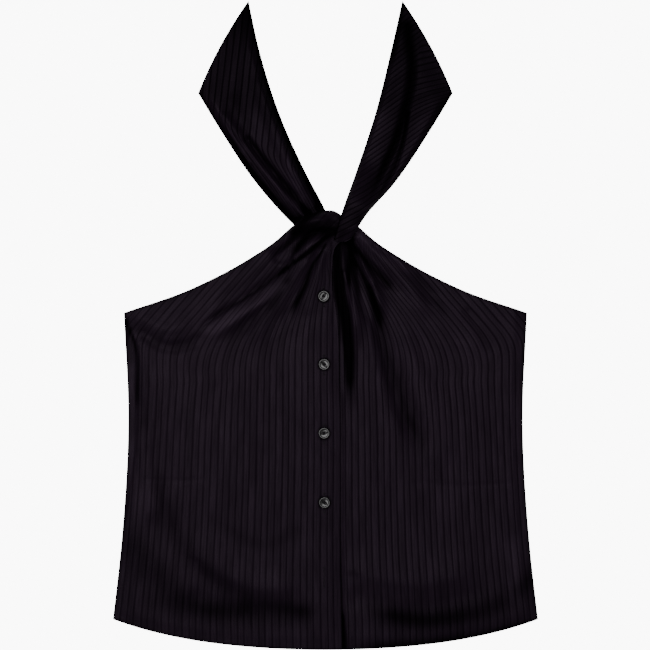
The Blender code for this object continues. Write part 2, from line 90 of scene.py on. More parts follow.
world = bpy.data.worlds.new("studio")
world.use_nodes = True
room = world.node_tree.nodes["Background"]
room.inputs["Color"].default_value = (1.0, 1.0, 1.0, 1.0)
room.inputs["Strength"].default_value = ROOM_LIGHT
bpy.context.scene.world = world

for name, place, size, power in LIGHTS:
    light_data = bpy.data.lights.new(name, "AREA")
    light_data.size = size
    light_data.energy = power
    light = bpy.data.objects.new(name, light_data)
    light.location = place
    light.rotation_euler = (-light.location).to_track_quat("-Z", "Y").to_euler()
    bpy.context.scene.collection.objects.link(light)

camera_data = bpy.data.cameras.new("camera")
camera_data.sensor_width = 36.0
camera_data.lens = camera_data.sensor_width * CAMERA_HEIGHT / VIEW_WIDTH
camera = bpy.data.objects.new("camera", camera_data)
camera.location = (*VIEW_CENTRE, CAMERA_HEIGHT)
bpy.context.scene.collection.objects.link(camera)
bpy.context.scene.camera = camera


# Back: one panel of ribbed satin, flat on the floor from the hem up to a shallow curve between the underarms.
# It is sewn to the fronts down both sides.
HALF_LENGTH = 330.8
HEM_BOW = 21.9  # how far the hem curves up from its middle to its corners
HEM_KICK = 9.3  # and how much further close to the corners
HEM_HALF_WIDTH = 216.6
HEM_CORNER_Y = HEM_BOW + HEM_KICK - HALF_LENGTH
UNDERARM_Y = 12.6
UNDERARM_HALF_WIDTH = 205.4
BACK_DIP = 8.0
BACK_CLOTH = 1.2
BACK_RIBS = 66
BACK_ROWS = 60
BACK_RIB_DEPTH = 0.3
BACK_LIGHT = 0.6  # the share of the light that reaches it between the floor and the fronts

# Side seams: height along the body, half width there
SIDE_SEAM = [
    (HEM_CORNER_Y, HEM_HALF_WIDTH),
    (-220.0, 207.8),
    (-97.0, 201.0),
    (UNDERARM_Y, UNDERARM_HALF_WIDTH),
]

# Columns of the mesh across one rib, as shares of its width: close together at the groove
RIB_COLUMNS = [0.0, 0.08, 0.2, 0.5, 0.8, 0.92, 1.0]
GROOVE_WIDTH = 0.085


def ease(share):
    """0 below a share of 0, 1 above a share of 1 and a smooth step between."""
    share = np.clip(share, 0.0, 1.0)
    return share * share * (3.0 - 2.0 * share)


def mix(first, second, share):
    return first + (second - first) * share


def graph(rows):
    """A smooth curve through rows of (x, y) in order of x, as a function of x."""
    xs, ys = (np.array(column, float) for column in zip(*rows))
    slopes = np.gradient(ys, xs)

    def value(x):
        x = np.clip(x, xs[0], xs[-1])
        row = np.clip(np.searchsorted(xs, x, side="right") - 1, 0, len(xs) - 2)
        run = xs[row + 1] - xs[row]
        t = (x - xs[row]) / run
        rise = (2 * t**3 - 3 * t**2 + 1) * ys[row] + (3 * t**2 - 2 * t**3) * ys[row + 1]
        return rise + run * ((t**3 - 2 * t**2 + t) * slopes[row] + (t**3 - t**2) * slopes[row + 1])

    return value


side_half_width = graph(SIDE_SEAM)


def hem_y(x):
    share = x / HEM_HALF_WIDTH
    return -HALF_LENGTH + HEM_BOW * share**2 + HEM_KICK * share**4


def rib_share(share, ribs):
    """Moves evenly spaced columns to their places on the ribs, close together at the grooves."""
    count = np.floor(share * ribs + 1e-6)
    even = np.linspace(0.0, 1.0, len(RIB_COLUMNS))
    return (count + np.interp(share * ribs - count, even, RIB_COLUMNS)) / ribs


def uneven(share, ribs):
    """Makes ribs a little wider and narrower by turns, as the cloth was pressed."""
    return share + (0.06 * np.sin(1.9 * share * ribs) + 0.04 * np.sin(3.1 * share * ribs + 1.0)) / ribs


def rib_profile(phase):
    """The height of a rib as a share: a broad crowned band, with a narrow groove at each whole phase."""
    from_groove = np.abs(phase - np.round(phase))
    band = 1.0 - np.exp(-((from_groove / GROOVE_WIDTH) ** 2))
    return 0.32 * band + 0.10 * (0.5 - 0.5 * np.cos(math.tau * phase))


def slab(columns, rows):
    """A closed slab over the unit square, with its upper faces at a height of 1."""
    mesh = bmesh.new()
    bmesh.ops.create_grid(mesh, x_segments=columns, y_segments=rows, size=0.5)
    bmesh.ops.translate(mesh, vec=(0.5, 0.5, 0.0), verts=mesh.verts[:])
    grown = bmesh.ops.extrude_face_region(mesh, geom=mesh.faces[:])["geom"]
    upper = [part for part in grown if isinstance(part, bmesh.types.BMVert)]
    bmesh.ops.translate(mesh, vec=(0.0, 0.0, 1.0), verts=upper)
    bmesh.ops.recalc_face_normals(mesh, faces=mesh.faces[:])
    return mesh


def shape(mesh, top, underside):
    """Moves the corners of a slab to their places on the cloth, given as functions of its two shares.

    The top's function gives x, y, z, the rib phase, how clearly the ribs stand out and how much light reaches
    the cloth. Its pattern is returned: the phase, the length along the cloth, and the last two.
    """
    corners = np.array([vertex.co for vertex in mesh.verts])
    across, up, side = corners.T
    x, y, over, phase, strength, light = top(across, up)
    under = underside(across, up)
    for vertex, place in zip(mesh.verts, np.column_stack([x, y, np.where(side > 0.5, over, under)]) * MM):
        vertex.co = place
    if mesh.calc_volume(signed=True) < 0.0:
        bmesh.ops.reverse_faces(mesh, faces=mesh.faces[:])
    return np.column_stack([phase, y * MM, strength * np.ones_like(x), light * np.ones_like(x)])


def add_piece(name, mesh, finish, pattern=None):
    """Makes an object of the mesh, with the pattern that shape() gives for cloth."""
    data = bpy.data.meshes.new(name)
    mesh.to_mesh(data)
    mesh.free()
    data.shade_smooth()
    data.set_sharp_from_angle(angle=math.radians(65.0))
    if pattern is not None:
        corners = np.empty(len(data.loops), int)
        data.loops.foreach_get("vertex_index", corners)
        along_ribs = pattern[corners, :2].astype(np.float32)
        data.uv_layers.new(name="ribs").uv.foreach_set("vector", along_ribs.ravel())
        for column, label in ((2, "rib_strength"), (3, "light")):
            values = pattern[:, column].astype(np.float32)
            data.attributes.new(label, "FLOAT", "POINT").data.foreach_set("value", values)
    data.materials.append(finish)
    made = bpy.data.objects.new(name, data)
    bpy.context.scene.collection.objects.link(made)
    return made


class Nodes:
    """A material's nodes, added and joined in one line each."""

    def __init__(self, name):
        self.material = bpy.data.materials.new(name)
        self.material.use_nodes = True
        self.tree = self.material.node_tree
        self.shader = self.tree.nodes["Principled BSDF"]

    def add(self, kind, inputs=(), **settings):
        node = self.tree.nodes.new("ShaderNode" + kind)
        for key, value in settings.items():
            setattr(node, key, value)
        for socket, value in dict(inputs).items():
            self.join(node.inputs[socket], value)
        return node

    def join(self, socket, value):
        if isinstance(value, bpy.types.NodeSocket):
            self.tree.links.new(value, socket)
        else:
            socket.default_value = value

    def math(self, operation, *values):
        return self.add("Math", enumerate(values), operation=operation).outputs[0]

    def scaled(self, value, low, high, low_to, high_to):
        inputs = {"Value": value, "From Min": low, "From Max": high, "To Min": low_to, "To Max": high_to}
        return self.add("MapRange", inputs, interpolation_type="SMOOTHSTEP").outputs["Result"]

    def noise(self, place, scale, detail):
        return self.add("TexNoise", {"Vector": place, "Scale": scale, "Detail": detail}).outputs["Fac"]

    def varied(self, noise, low_to, high_to):
        return self.scaled(noise, 0.3, 0.7, low_to, high_to)

    def tinted(self, colour, amount):
        return self.add("VectorMath", {0: colour, 1: amount}, operation="MULTIPLY").outputs[0]

    def finish(self, socket, value):
        self.join(self.shader.inputs[socket], value)

    def bump(self, height, strength, distance):
        bumped = self.add("Bump", {"Height": height, "Strength": strength, "Distance": distance})
        self.finish("Normal", bumped.outputs["Normal"])


SHEEN_TINT = (0.95, 0.74, 0.95)
SATIN_SPECULAR = 0.065


def satin(name, band, groove, sheen):
    """Ribbed satin: glossy bands, a dull groove with painted shade in it, streaked along the ribs."""
    nodes = Nodes(name)
    pattern = nodes.add("UVMap", uv_map="ribs").outputs["UV"]
    parts = nodes.add("SeparateXYZ", {0: pattern})
    phase, length = parts.outputs["X"], parts.outputs["Y"]
    strength = nodes.add("Attribute", attribute_name="rib_strength").outputs["Fac"]
    light = nodes.add("Attribute", attribute_name="light").outputs["Fac"]
    place = nodes.add("TexCoord").outputs["Object"]

    from_groove = nodes.math("PINGPONG", phase, 0.5)
    in_groove = nodes.math("MULTIPLY", nodes.scaled(from_groove, 0.03, 0.18, 1.0, 0.0), strength)
    in_middle = nodes.scaled(nodes.math("SUBTRACT", 0.5, from_groove), 0.0, 0.08, 1.0, 0.0)

    own_place = {"X": nodes.math("FLOOR", phase), "Y": nodes.math("MULTIPLY", length, 16.0)}
    own_band = nodes.noise(nodes.add("CombineXYZ", own_place).outputs[0], 0.83, 2.0)
    along = nodes.add("Mapping", {"Vector": pattern, "Scale": (4.6, 42.0, 1.0)}).outputs["Vector"]
    streak = nodes.noise(along, 1.0, 3.0)
    cloudy = nodes.noise(place, 34.0, 3.0)

    # The groove's darker colour is partly its duller weave and partly painted shade.
    colour = nodes.add("Mix", data_type="RGBA")
    nodes.join(colour.inputs[0], in_groove)
    nodes.join(colour.inputs[6], (*band, 1.0))
    nodes.join(colour.inputs[7], (*groove, 1.0))
    tone = nodes.math("MULTIPLY", nodes.varied(own_band, 0.86, 1.14), nodes.varied(streak, 0.84, 1.16))
    shade = nodes.math("SUBTRACT", tone, nodes.math("MULTIPLY", in_middle, 0.15))
    nodes.finish("Base Color", nodes.tinted(colour.outputs[2], nodes.math("MULTIPLY", shade, light)))

    # The groove's weaker reflection is likewise partly its duller weave and partly painted shade.
    dulled = nodes.math("SUBTRACT", 1.0, nodes.math("MULTIPLY", in_groove, 0.3))
    glint = nodes.math("MULTIPLY", nodes.math("MULTIPLY", nodes.math("POWER", shade, 0.6), light), dulled)
    nodes.finish("Specular Tint", nodes.tinted(tuple(sheen * part for part in SHEEN_TINT), glint))
    nodes.finish("Specular IOR Level", SATIN_SPECULAR)

    gloss = nodes.math("ADD", nodes.varied(cloudy, 0.42, 0.48), nodes.varied(own_band, 0.02, -0.02))
    nodes.finish("Roughness", nodes.math("ADD", gloss, nodes.math("MULTIPLY", in_groove, 0.2)))

    yarns = nodes.add("Mapping", {"Vector": pattern, "Scale": (16.0, 2400.0, 1.0)}).outputs["Vector"]
    crossed = {"Vector": yarns, "Scale": 1.0, "Distortion": 1.5}
    weave = nodes.add("TexWave", crossed, bands_direction="DIAGONAL").outputs["Fac"]
    height = nodes.math("ADD", streak, nodes.math("MULTIPLY", weave, 0.12))
    nodes.bump(nodes.math("SUBTRACT", height, nodes.math("MULTIPLY", in_groove, 0.8)), 0.5, 0.00014)
    return nodes.material


body_satin = satin("body_satin", (0.0112, 0.0067, 0.0120), (0.0066, 0.0038, 0.0071), 0.95)


def back_place(share, up):
    across = 2.0 * share - 1.0
    top_y = UNDERARM_Y - BACK_DIP * (1.0 - across * across)
    y = mix(hem_y(across * side_half_width(HEM_CORNER_Y)), top_y, up)
    return across * side_half_width(y), y


def back_top(column, up):
    share = rib_share(column, BACK_RIBS)
    x, y = back_place(share, up)
    return x, y, np.full_like(x, BACK_CLOTH), share * BACK_RIBS, 1.0, BACK_LIGHT


def back_underside(column, up):
    return BACK_RIB_DEPTH * (1.0 - rib_profile(rib_share(column, BACK_RIBS) * BACK_RIBS))


back_mesh = slab(BACK_RIBS * (len(RIB_COLUMNS) - 1), BACK_ROWS)
back_pattern = shape(back_mesh, back_top, back_underside)
back = add_piece("back_panel", back_mesh, body_satin, back_pattern)
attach(back, "root")
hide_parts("back")


# Right front: the panel that the buttons are sewn to. It reaches under the left front, and its top is
# gathered in under the foot of the right strap, which it is cut in one with.
CLOTH = 1.0
SEAM_GAP = 0.3
FRONT_REST = BACK_CLOTH + SEAM_GAP
LAP_WIDTH = 27.0
LOFT = 1.8
EDGE_SETTLE = 14.0
RIB_HEIGHT = 0.6
FRONT_RIBS = 33
FRONT_ROWS = 210
KNOT_X, KNOT_Y = 6.0, 96.0
KNOT_RADIUS = 34.0
KNOT_RISE = 4.5
KNOT_HALF_WIDTH = 40.0
GATHER_BEND = 2.6  # how suddenly the ribs bend in to the knot

# Edge of the left front where it laps over this one: height along the body, x
OPENING_EDGE = [
    (-HALF_LENGTH, 17.0),
    (-250.0, 15.2),
    (-57.0, 14.2),
    (15.0, 10.6),
    (35.0, 7.2),
    (83.0, 8.2),
]

# How that edge swings to the right as it joins the roll: height along the body, distance
EDGE_SWING = [(70.0, 0.0), (80.0, 2.6), (88.5, 10.8), (112.0, 34.0)]
ROLL_FOOT = (19.0, 88.5)  # lower corner of the roll's end
ROLL_TOP = (18.5, 110.5)  # upper corner of the roll's end

# Armhole, from the knot down to the underarm: half width, height along the body
ARMHOLE = [
    (31.8, 102.2),
    (50.0, 86.2),
    (74.4, 69.8),
    (136.6, 37.1),
    (UNDERARM_HALF_WIDTH, UNDERARM_Y),
]

# How the ribs are shared out along the top edge: share of the front's width, x of the edge there
RIGHT_TOP_SHARES = [(0.42, 31.0), (0.56, 60.0), (0.75, 114.0), (1.0, UNDERARM_HALF_WIDTH)]
EDGE_SHADE = 0.85
EDGE_SHADE_WIDTH = 2.0
RIGHT_GATHER_FOOT = (5.0, 82.0)  # the inner corner of the gathers, under the knot

# Folds: the points that each runs through, its height (a trough is negative), its half widths at the ends,
# and how much wider it is on its left than on its right, as seen along it
Fold = namedtuple("Fold", "points height start_width end_width skew", defaults=[0.0])
RIGHT_FOLDS = [
    Fold([(15.5, 80), (17.5, 25), (22, -77)], -5.5, 5, 6.5),
    Fold([(22, 80), (27, 35), (32, -26)], 4.4, 3.2, 6, 0.3),
    Fold([(25.5, 84), (36, 40), (45, -6)], -3.6, 3, 5),
    Fold([(29, 86), (45, 48), (58, 4)], 4.4, 3.2, 7, 0.2),
    Fold([(31, 84), (43, 65), (56, 50), (70, 36)], -4.8, 3.2, 5, -0.2),
    Fold([(38, 88), (60, 66), (88, 36), (104, 2)], 2.6, 5, 12, 0.3),
    Fold([(52, 80), (74, 65), (93, 46), (117, 18)], -2.6, 3, 7),
    Fold([(60, 80), (97, 55), (142, 24)], 1.2, 5, 10),
    Fold([(43, 40), (51, 9), (60, -24), (76, -75), (104, -140)], -3.8, 4, 13, 0.2),
    Fold([(41, 0), (61, -77), (87, -159)], 1.6, 8, 15),
    Fold([(84, -20), (104, -84), (128, -150)], 1.6, 9, 16),
    Fold([(147, 12), (163, -12), (177, -30)], -1.4, 5, 8),
    Fold([(92, -160.5), (140, -163.5), (200, -160)], -0.5, 1.6, 1.6),
    Fold([(46, -256), (97, -263), (158, -247)], 2.2, 14, 13, 0.3),
    Fold([(36, -279), (76, -289), (120, -285), (172, -262)], -2.2, 9, 9),
]

# Pockets that the light hardly reaches, and folds that catch it: height is the share of the light that is
# lost, and a lit fold is negative
RIGHT_POCKETS = [
    Fold([(12.5, 95), (12.2, 65), (12.6, 47), (14.5, 30), (18, 12), (20.5, -6), (23.4, -24),
          (24.3, -42), (24.6, -64), (25.4, -92)], 1.15, 5.6, 6.4),
    Fold([(15, 50), (16, 30), (20.5, 10), (22.5, -8), (24, -26), (25, -50)], 0.55, 5, 4),
    Fold([(14.8, 20), (16, -8), (17.4, -40), (19, -84)], -0.3, 0.9, 1.8),
    Fold([(26, 90), (24.6, 65), (23.8, 50), (24, 32)], 0.9, 3.6, 3.4),
    Fold([(24, 95), (28, 72), (31, 50), (36, 20)], 0.5, 4, 3.6),
    Fold([(20, 88), (33, 75), (45, 62), (56, 50.5), (76, 30)], 0.8, 3, 5),
    Fold([(24, 82), (30.5, 66), (36.6, 56.1), (42.8, 40.1), (48.1, 26), (52.5, 13.6),
          (60, -10)], 0.85, 2.4, 4.6),
    Fold([(49, 34), (55, 0), (62, -28), (72, -55), (84, -92), (104, -136)], 0.48, 5, 11),
    Fold([(20, 52), (22.5, 41), (24.8, 29.5), (28.4, 12), (31, -6)], -0.6, 1, 1.4),
    Fold([(23, 85), (28.5, 74), (33.5, 64), (41, 51), (48, 40), (57, 17)], -0.6, 1.5, 1.6),
    Fold([(28, 97), (36, 90), (50, 79), (70, 65), (96, 50)], -0.65, 4.6, 5),
    Fold([(60, 74), (84, 58), (108, 32), (128, 4)], 0.25, 4, 5),
    Fold([(80, -30), (97, -66), (112, -100), (124, -150), (132, -210)], -0.16, 10, 18),
    Fold([(212, -6), (206, -60), (204, -160), (210, -262)], -0.18, 18, 18),
    Fold([(196, 27), (206, 16), (211, 0)], 0.4, 6, 5),
    Fold([(86, -98), (108, -136), (130, -176)], 0.16, 6, 7),
    Fold([(206, -262), (188, -276), (160, -292), (130, -300), (95, -302), (50, -292),
          (22, -280)], 0.5, 11, 10),
    Fold([(200, -308), (150, -318), (120, -322), (80, -326), (20, -328)], 0.7, 7, 5),
    Fold([(17.6, -332), (17.2, -308), (15.8, -270), (14.4, -57), (15, 40)], 0.45, 1.3, 1.2),
    Fold([(19.5, -334), (19, -318), (18, -303), (17.4, -288)], 1.1, 3.2, 1.4),
    Fold([(74, -294), (98, -296), (122, -293), (142, -286), (154, -274), (162, -258)], 0.35, 11, 10),
    Fold([(190, -274), (192, -254), (190, -236), (186, -210)], -0.35, 8, 8),
]

# How the ribs lean over the bust: distance from the middle, how far they lean, where they start to and where
# they lean most
RIB_MIDDLE = 8.0
UPRIGHT_Y = -66.0
LEAN_STEPS = 30
FRONT_SPREAD = 205.0  # about the width of a front, for ribs past its outermost column
RIB_LEAN = [
    (0.0, 0.0, -20.0, 60.0),
    (16.0, 0.28, -30.0, 58.0),
    (33.0, 0.52, -40.0, 54.0),
    (60.0, 0.80, -52.0, 40.0),
    (110.0, 0.86, -60.0, 16.0),
    (165.0, 0.86, -44.0, 4.0),
    (213.0, 0.84, -20.0, 4.0),
]

most_lean = graph([(row[0], row[1]) for row in RIB_LEAN])
bend_start = graph([(row[0], row[2]) for row in RIB_LEAN])
bend_end = graph([(row[0], row[3]) for row in RIB_LEAN])
opening_x = graph(OPENING_EDGE)
edge_swing = graph(EDGE_SWING)
right_top_x = graph(RIGHT_TOP_SHARES)
armhole_height = graph(ARMHOLE)
roll_end_x = graph([(ROLL_FOOT[1], ROLL_FOOT[0]), (ROLL_TOP[1], ROLL_TOP[0])])
front_rows = graph([(0.0, 0.0), (0.4, 0.58), (0.7, 0.82), (1.0, 1.0)])


def path(points):
    """A smooth curve through the points, as a function of the share of its length."""
    points = np.array(points, float)
    chords = np.linalg.norm(np.diff(points, axis=0), axis=1)
    along = np.concatenate([[0.0], np.cumsum(chords)]) / chords.sum()
    across, up = (graph(list(zip(along, points[:, axis]))) for axis in (0, 1))
    return lambda share: np.array([across(share), up(share)])


def relief(folds):
    """The height that a list of folds gives to a piece of cloth, as a function of the place on it."""
    shares = np.linspace(0.0, 1.0, 40)
    lines = []
    for fold in folds:
        points = path(fold.points)(shares).T
        run = np.gradient(points, axis=0)
        spacing = np.linalg.norm(run, axis=1)
        lines.append((fold, points, run / spacing[:, None], spacing))

    def height(x, y):
        total = np.zeros_like(x)
        for fold, points, run, spacing in lines:
            reach = 3.0 * max(fold.start_width, fold.end_width)
            low, high = points.min(axis=0) - reach, points.max(axis=0) + reach
            near = (x > low[0]) & (x < high[0]) & (y > low[1]) & (y < high[1])
            here = np.column_stack([x[near], y[near]])
            if not len(here):
                continue
            closest = np.hypot(here[:, :1] - points[:, 0], here[:, 1:] - points[:, 1]).argmin(axis=1)
            off = here - points[closest]
            along = (off * run[closest]).sum(axis=1)
            aside = run[closest, 0] * off[:, 1] - run[closest, 1] * off[:, 0]
            past_end = np.maximum(0.0, np.abs(along) - spacing[closest])
            share = np.clip(shares[closest] + along / spacing[closest] * shares[1], 0.0, 1.0)
            width = mix(fold.start_width, fold.end_width, share) * (1.0 + fold.skew * np.sign(aside))
            section = np.exp(-(aside**2 + past_end**2) / width**2)
            total[near] += fold.height * ease(4.0 * (1.0 - share)) * section
        return total

    return height


right_relief = relief(RIGHT_FOLDS)
right_pockets = relief(RIGHT_POCKETS)


def left_boundary_x(y):
    """The right-hand edge of the left front: its opening edge, and above that the end of the roll."""
    return np.where(y > ROLL_FOOT[1], roll_end_x(y), opening_x(y) + edge_swing(y))


def hidden_edge_x(y):
    """The inner edge of the right front, under the lap."""
    return opening_x(y) - LAP_WIDTH


def knot_rise(x, y):
    """The heap of gathered cloth under the knot."""
    away = np.hypot(x - KNOT_X, y - KNOT_Y) / KNOT_RADIUS
    return KNOT_RISE * np.exp(-away * away)


def out_of_knot(x, y, radius, distance):
    """0 within a radius of the knot's middle and 1 a distance further out."""
    return ease((np.hypot(x - KNOT_X, y - KNOT_Y) - radius) / distance)


def loft(x, y):
    """The air under a front, which goes down to the side seams and the hem."""
    from_side = side_half_width(y) - np.abs(x)
    from_hem = y - hem_y(x)
    return LOFT * ease(from_side / EDGE_SETTLE) * mix(0.3, 1.0, ease(from_hem / EDGE_SETTLE))


def floor_of_fronts(y):
    """The underside of a front: on the back below the underarms, and on the floor above its top edge."""
    return FRONT_REST * (1.0 - ease((y - UNDERARM_Y - 2.0) / 20.0))


def lift(height):
    """The relief with its deepest troughs levelled off where the cloth meets what it lies on."""
    return (height + np.hypot(height, 0.8)) / 2.0


def clear_of_lap(x, y):
    """0 where the right front lies under the left one and 1 well clear of it."""
    margin = mix(0.5, 3.0, ease((y - 68.0) / 14.0))
    return ease((x - left_boundary_x(y) - margin) / 6.0)


def right_height(x, y):
    """The upper face of the right front, without its ribs."""
    height = loft(x, y) + right_relief(x, y) + knot_rise(x, y)
    return floor_of_fronts(y) + CLOTH + lift(height) * clear_of_lap(x, y)


def drawn_in(up, hem_x, top, spread, bend):
    """A place on a front: spread out below the bust, and drawn in to its place on the top edge above it."""
    top_x, top_y = top
    y = mix(hem_y(hem_x), top_y, up)
    return spread(y) + (top_x - spread(top_y)) * np.maximum(0.0, (up - 0.45) / 0.55) ** bend, y


def right_front_column(share):
    """The foot and the top of a column of the right front: 0 is its hidden inner edge and 1 its side seam."""
    gather_share, gather_x = RIGHT_TOP_SHARES[0]
    gathered = np.minimum(share / gather_share, 1.0)
    top_x = np.where(share < gather_share, mix(RIGHT_GATHER_FOOT[0], gather_x, gathered), right_top_x(share))
    gather_y = mix(RIGHT_GATHER_FOOT[1], armhole_height(gather_x), gathered)
    top_y = np.where(share < gather_share, gather_y, armhole_height(top_x))
    return mix(hidden_edge_x(-HALF_LENGTH), side_half_width(HEM_CORNER_Y), share), (top_x, top_y)


def right_front_place(share, up):
    share = uneven(share, FRONT_RIBS)

    def spread(y):
        return mix(hidden_edge_x(y), side_half_width(y), share)

    return drawn_in(up, *right_front_column(share), spread, GATHER_BEND)


def right_column_x(share, y):
    foot_x, (top_x, top_y) = right_front_column(share)
    return right_front_place(share, (y - hem_y(foot_x)) / (top_y - hem_y(foot_x)))[0]


def lean(x, y):
    """How far to the right a rib goes as it runs up, on the fronts."""
    out = np.abs(x - RIB_MIDDLE)
    bent = ease((y - bend_start(out)) / (bend_end(out) - bend_start(out)))
    return np.sign(RIB_MIDDLE - x) * most_lean(out) * bent


def rib_foot(x, y):
    """Follows the rib at a place on a front down to where the ribs stand upright."""
    step = np.maximum(y - UPRIGHT_Y, 0.0) / LEAN_STEPS
    for count in range(LEAN_STEPS):
        x = x - step * lean(x, y - step * (count + 0.5))
    return x


def front_phase(share, x, y, place_at, side):
    """Counts ribs across a front. They stand along the mesh's columns low down, and lean over the bust."""
    shares = np.linspace(0.0, 1.0, 400)
    foot_x = rib_foot(x, y)
    columns_x = place_at(shares, UPRIGHT_Y)
    outward = 1 if side else -1
    beyond = np.maximum((foot_x - columns_x[side]) * outward, 0.0)
    leaning = np.interp(foot_x, columns_x, shares) + beyond * outward / FRONT_SPREAD
    above = ease((y - UPRIGHT_Y) / 20.0) * out_of_knot(x, y, 22.0, 30.0)
    return mix(share, leaning, above) * FRONT_RIBS


def rib(phase, share, x, y):
    """The height of a rib, crisp where the mesh's columns follow it, and less where the ribs crowd in."""
    crowded = mix(0.35, 1.0, out_of_knot(x, y, 15.0, 60.0))
    crisp = 1.0 - ease(np.abs(phase - share * FRONT_RIBS) / 0.3)
    soft = 0.5 - 0.5 * np.cos(math.tau * phase)
    return RIB_HEIGHT * crowded * mix(0.25 * soft, rib_profile(phase), crisp)


def light_left(pockets, x, y, from_edge):
    """The share of the light that reaches the cloth: less in a pocket and where an edge turns down."""
    turned_down = EDGE_SHADE * np.exp(-((np.maximum(0.0, from_edge) / EDGE_SHADE_WIDTH) ** 2))
    return np.clip(1.0 - pockets(x, y), 0.1, 3.0) * (1.0 - turned_down)


def from_outline(x, y):
    """How far a place on a front is from its side seam, its hem and its armhole."""
    from_seam = np.minimum(side_half_width(y) - np.abs(x), y - hem_y(x))
    return np.minimum(from_seam, np.where(np.abs(x) > KNOT_HALF_WIDTH, armhole_height(np.abs(x)) - y, 100.0))


def rib_strength(x, y):
    """How clearly the ribs show: less where they are gathered in, and more towards the right."""
    return mix(0.55, 1.0, out_of_knot(x, y, 15.0, 60.0)) * mix(0.8, 1.2, ease((x + 150.0) / 230.0))


def wall_underside(height, rest, x, y):
    """The underside of one wall of cloth, which is nowhere below what the cloth lies on."""
    step = 0.5
    top = height(x, y)
    across = (height(x + step, y) - top) / step
    along = (height(x, y + step) - top) / step
    slope = np.minimum(2.0, np.sqrt(1.0 + across * across + along * along))
    return np.maximum(rest, top - CLOTH * slope)


def right_front_top(column, row):
    share = rib_share(column, FRONT_RIBS)
    x, y = right_front_place(share, front_rows(row))
    phase = front_phase(share, x, y, right_column_x, -1)
    height = right_height(x, y) + rib(phase, share, x, y) * clear_of_lap(x, y)
    return x, y, height, phase, rib_strength(x, y), light_left(right_pockets, x, y, from_outline(x, y))


def right_front_underside(column, row):
    x, y = right_front_place(rib_share(column, FRONT_RIBS), front_rows(row))
    return wall_underside(right_height, floor_of_fronts(y), x, y)


right_front_mesh = slab(FRONT_RIBS * (len(RIB_COLUMNS) - 1), FRONT_ROWS)
right_front_pattern = shape(right_front_mesh, right_front_top, right_front_underside)
right_front = add_piece("right_front", right_front_mesh, body_satin, right_front_pattern)
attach(right_front, "root")
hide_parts("front_right")


# Left front: the panel with the buttonholes, which laps over the right one. Its gathered top rolls up to the
# right over the end of its own strap and under the foot of the right strap.
LAP_RISE = CLOTH + SEAM_GAP
STRAP_THICKNESS = 2.4
ROLL_BEND = 4.2
ROLL_REST = STRAP_THICKNESS + 1.1
ROLL_ROUND = 3.0

ROLL_EDGE = [(-21.3, 109.6), (-11.0, 114.2), (0.0, 116.8), (9.0, 116.4), ROLL_TOP]
LEFT_TOP_SHARES = [(0.0, -UNDERARM_HALF_WIDTH), (0.25, -114.0), (0.42, -60.0), (0.52, -28.0), (0.64, 18.5)]
LEFT_FOLDS = [
    Fold([(-31, 76), (-50, 50), (-70.7, 36), (-104, 14), (-134, -7)], -2.4, 3.6, 2.4, -0.3),
    Fold([(-22, 62), (-51, 32), (-81, 12), (-128, -20)], 2.6, 5, 9, -0.3),
    Fold([(-42, 85), (-77, 54), (-137, 22)], 1.6, 7, 12),
    Fold([(-22, 64), (-44, 38), (-60, 20), (-84, -4), (-100, -18)], -2.2, 3.6, 7),
    Fold([(-17, 71), (-38, 38), (-66, 0), (-84, -30)], 2.2, 4.4, 10),
    Fold([(-5, 76), (-20, 45), (-32, 24), (-43, -6)], -2.4, 3, 6),
    Fold([(-3, 70), (-12, 40), (-20, 6)], 1.8, 3.6, 8),
    Fold([(-50, 82), (-14, 106), (20, 100)], 4.5, 6.5, 7),
    Fold([(-46, 70), (-16, 93), (12, 97)], -5, 4.5, 4.5),
    Fold([(-40, 60), (-14, 82), (12, 90)], 3.4, 4, 4.6),
    Fold([(-198, -12), (-180, -98), (-134, -240)], -1.3, 9, 18),
    Fold([(-190, -26), (-187, -108), (-170, -220)], 1.6, 6, 13, 0.3),
    Fold([(-184, -10), (-164, -22), (-137, -19), (-116, -10)], -2.4, 5, 7),
    Fold([(-184, 6), (-160, -4), (-134, 4)], 1.6, 7, 8),
    Fold([(-168, -210), (-128, -250), (-92, -284)], -1.6, 16, 12),
    Fold([(-118, -245), (-71, -266), (-18, -266)], 2.2, 14, 12, 0.3),
    Fold([(-128, -279), (-76, -292), (-22, -288)], -2, 9, 8),
    Fold([(-182, -157), (-150, -158.5), (-118, -157)], -0.5, 1.6, 1.6),
]

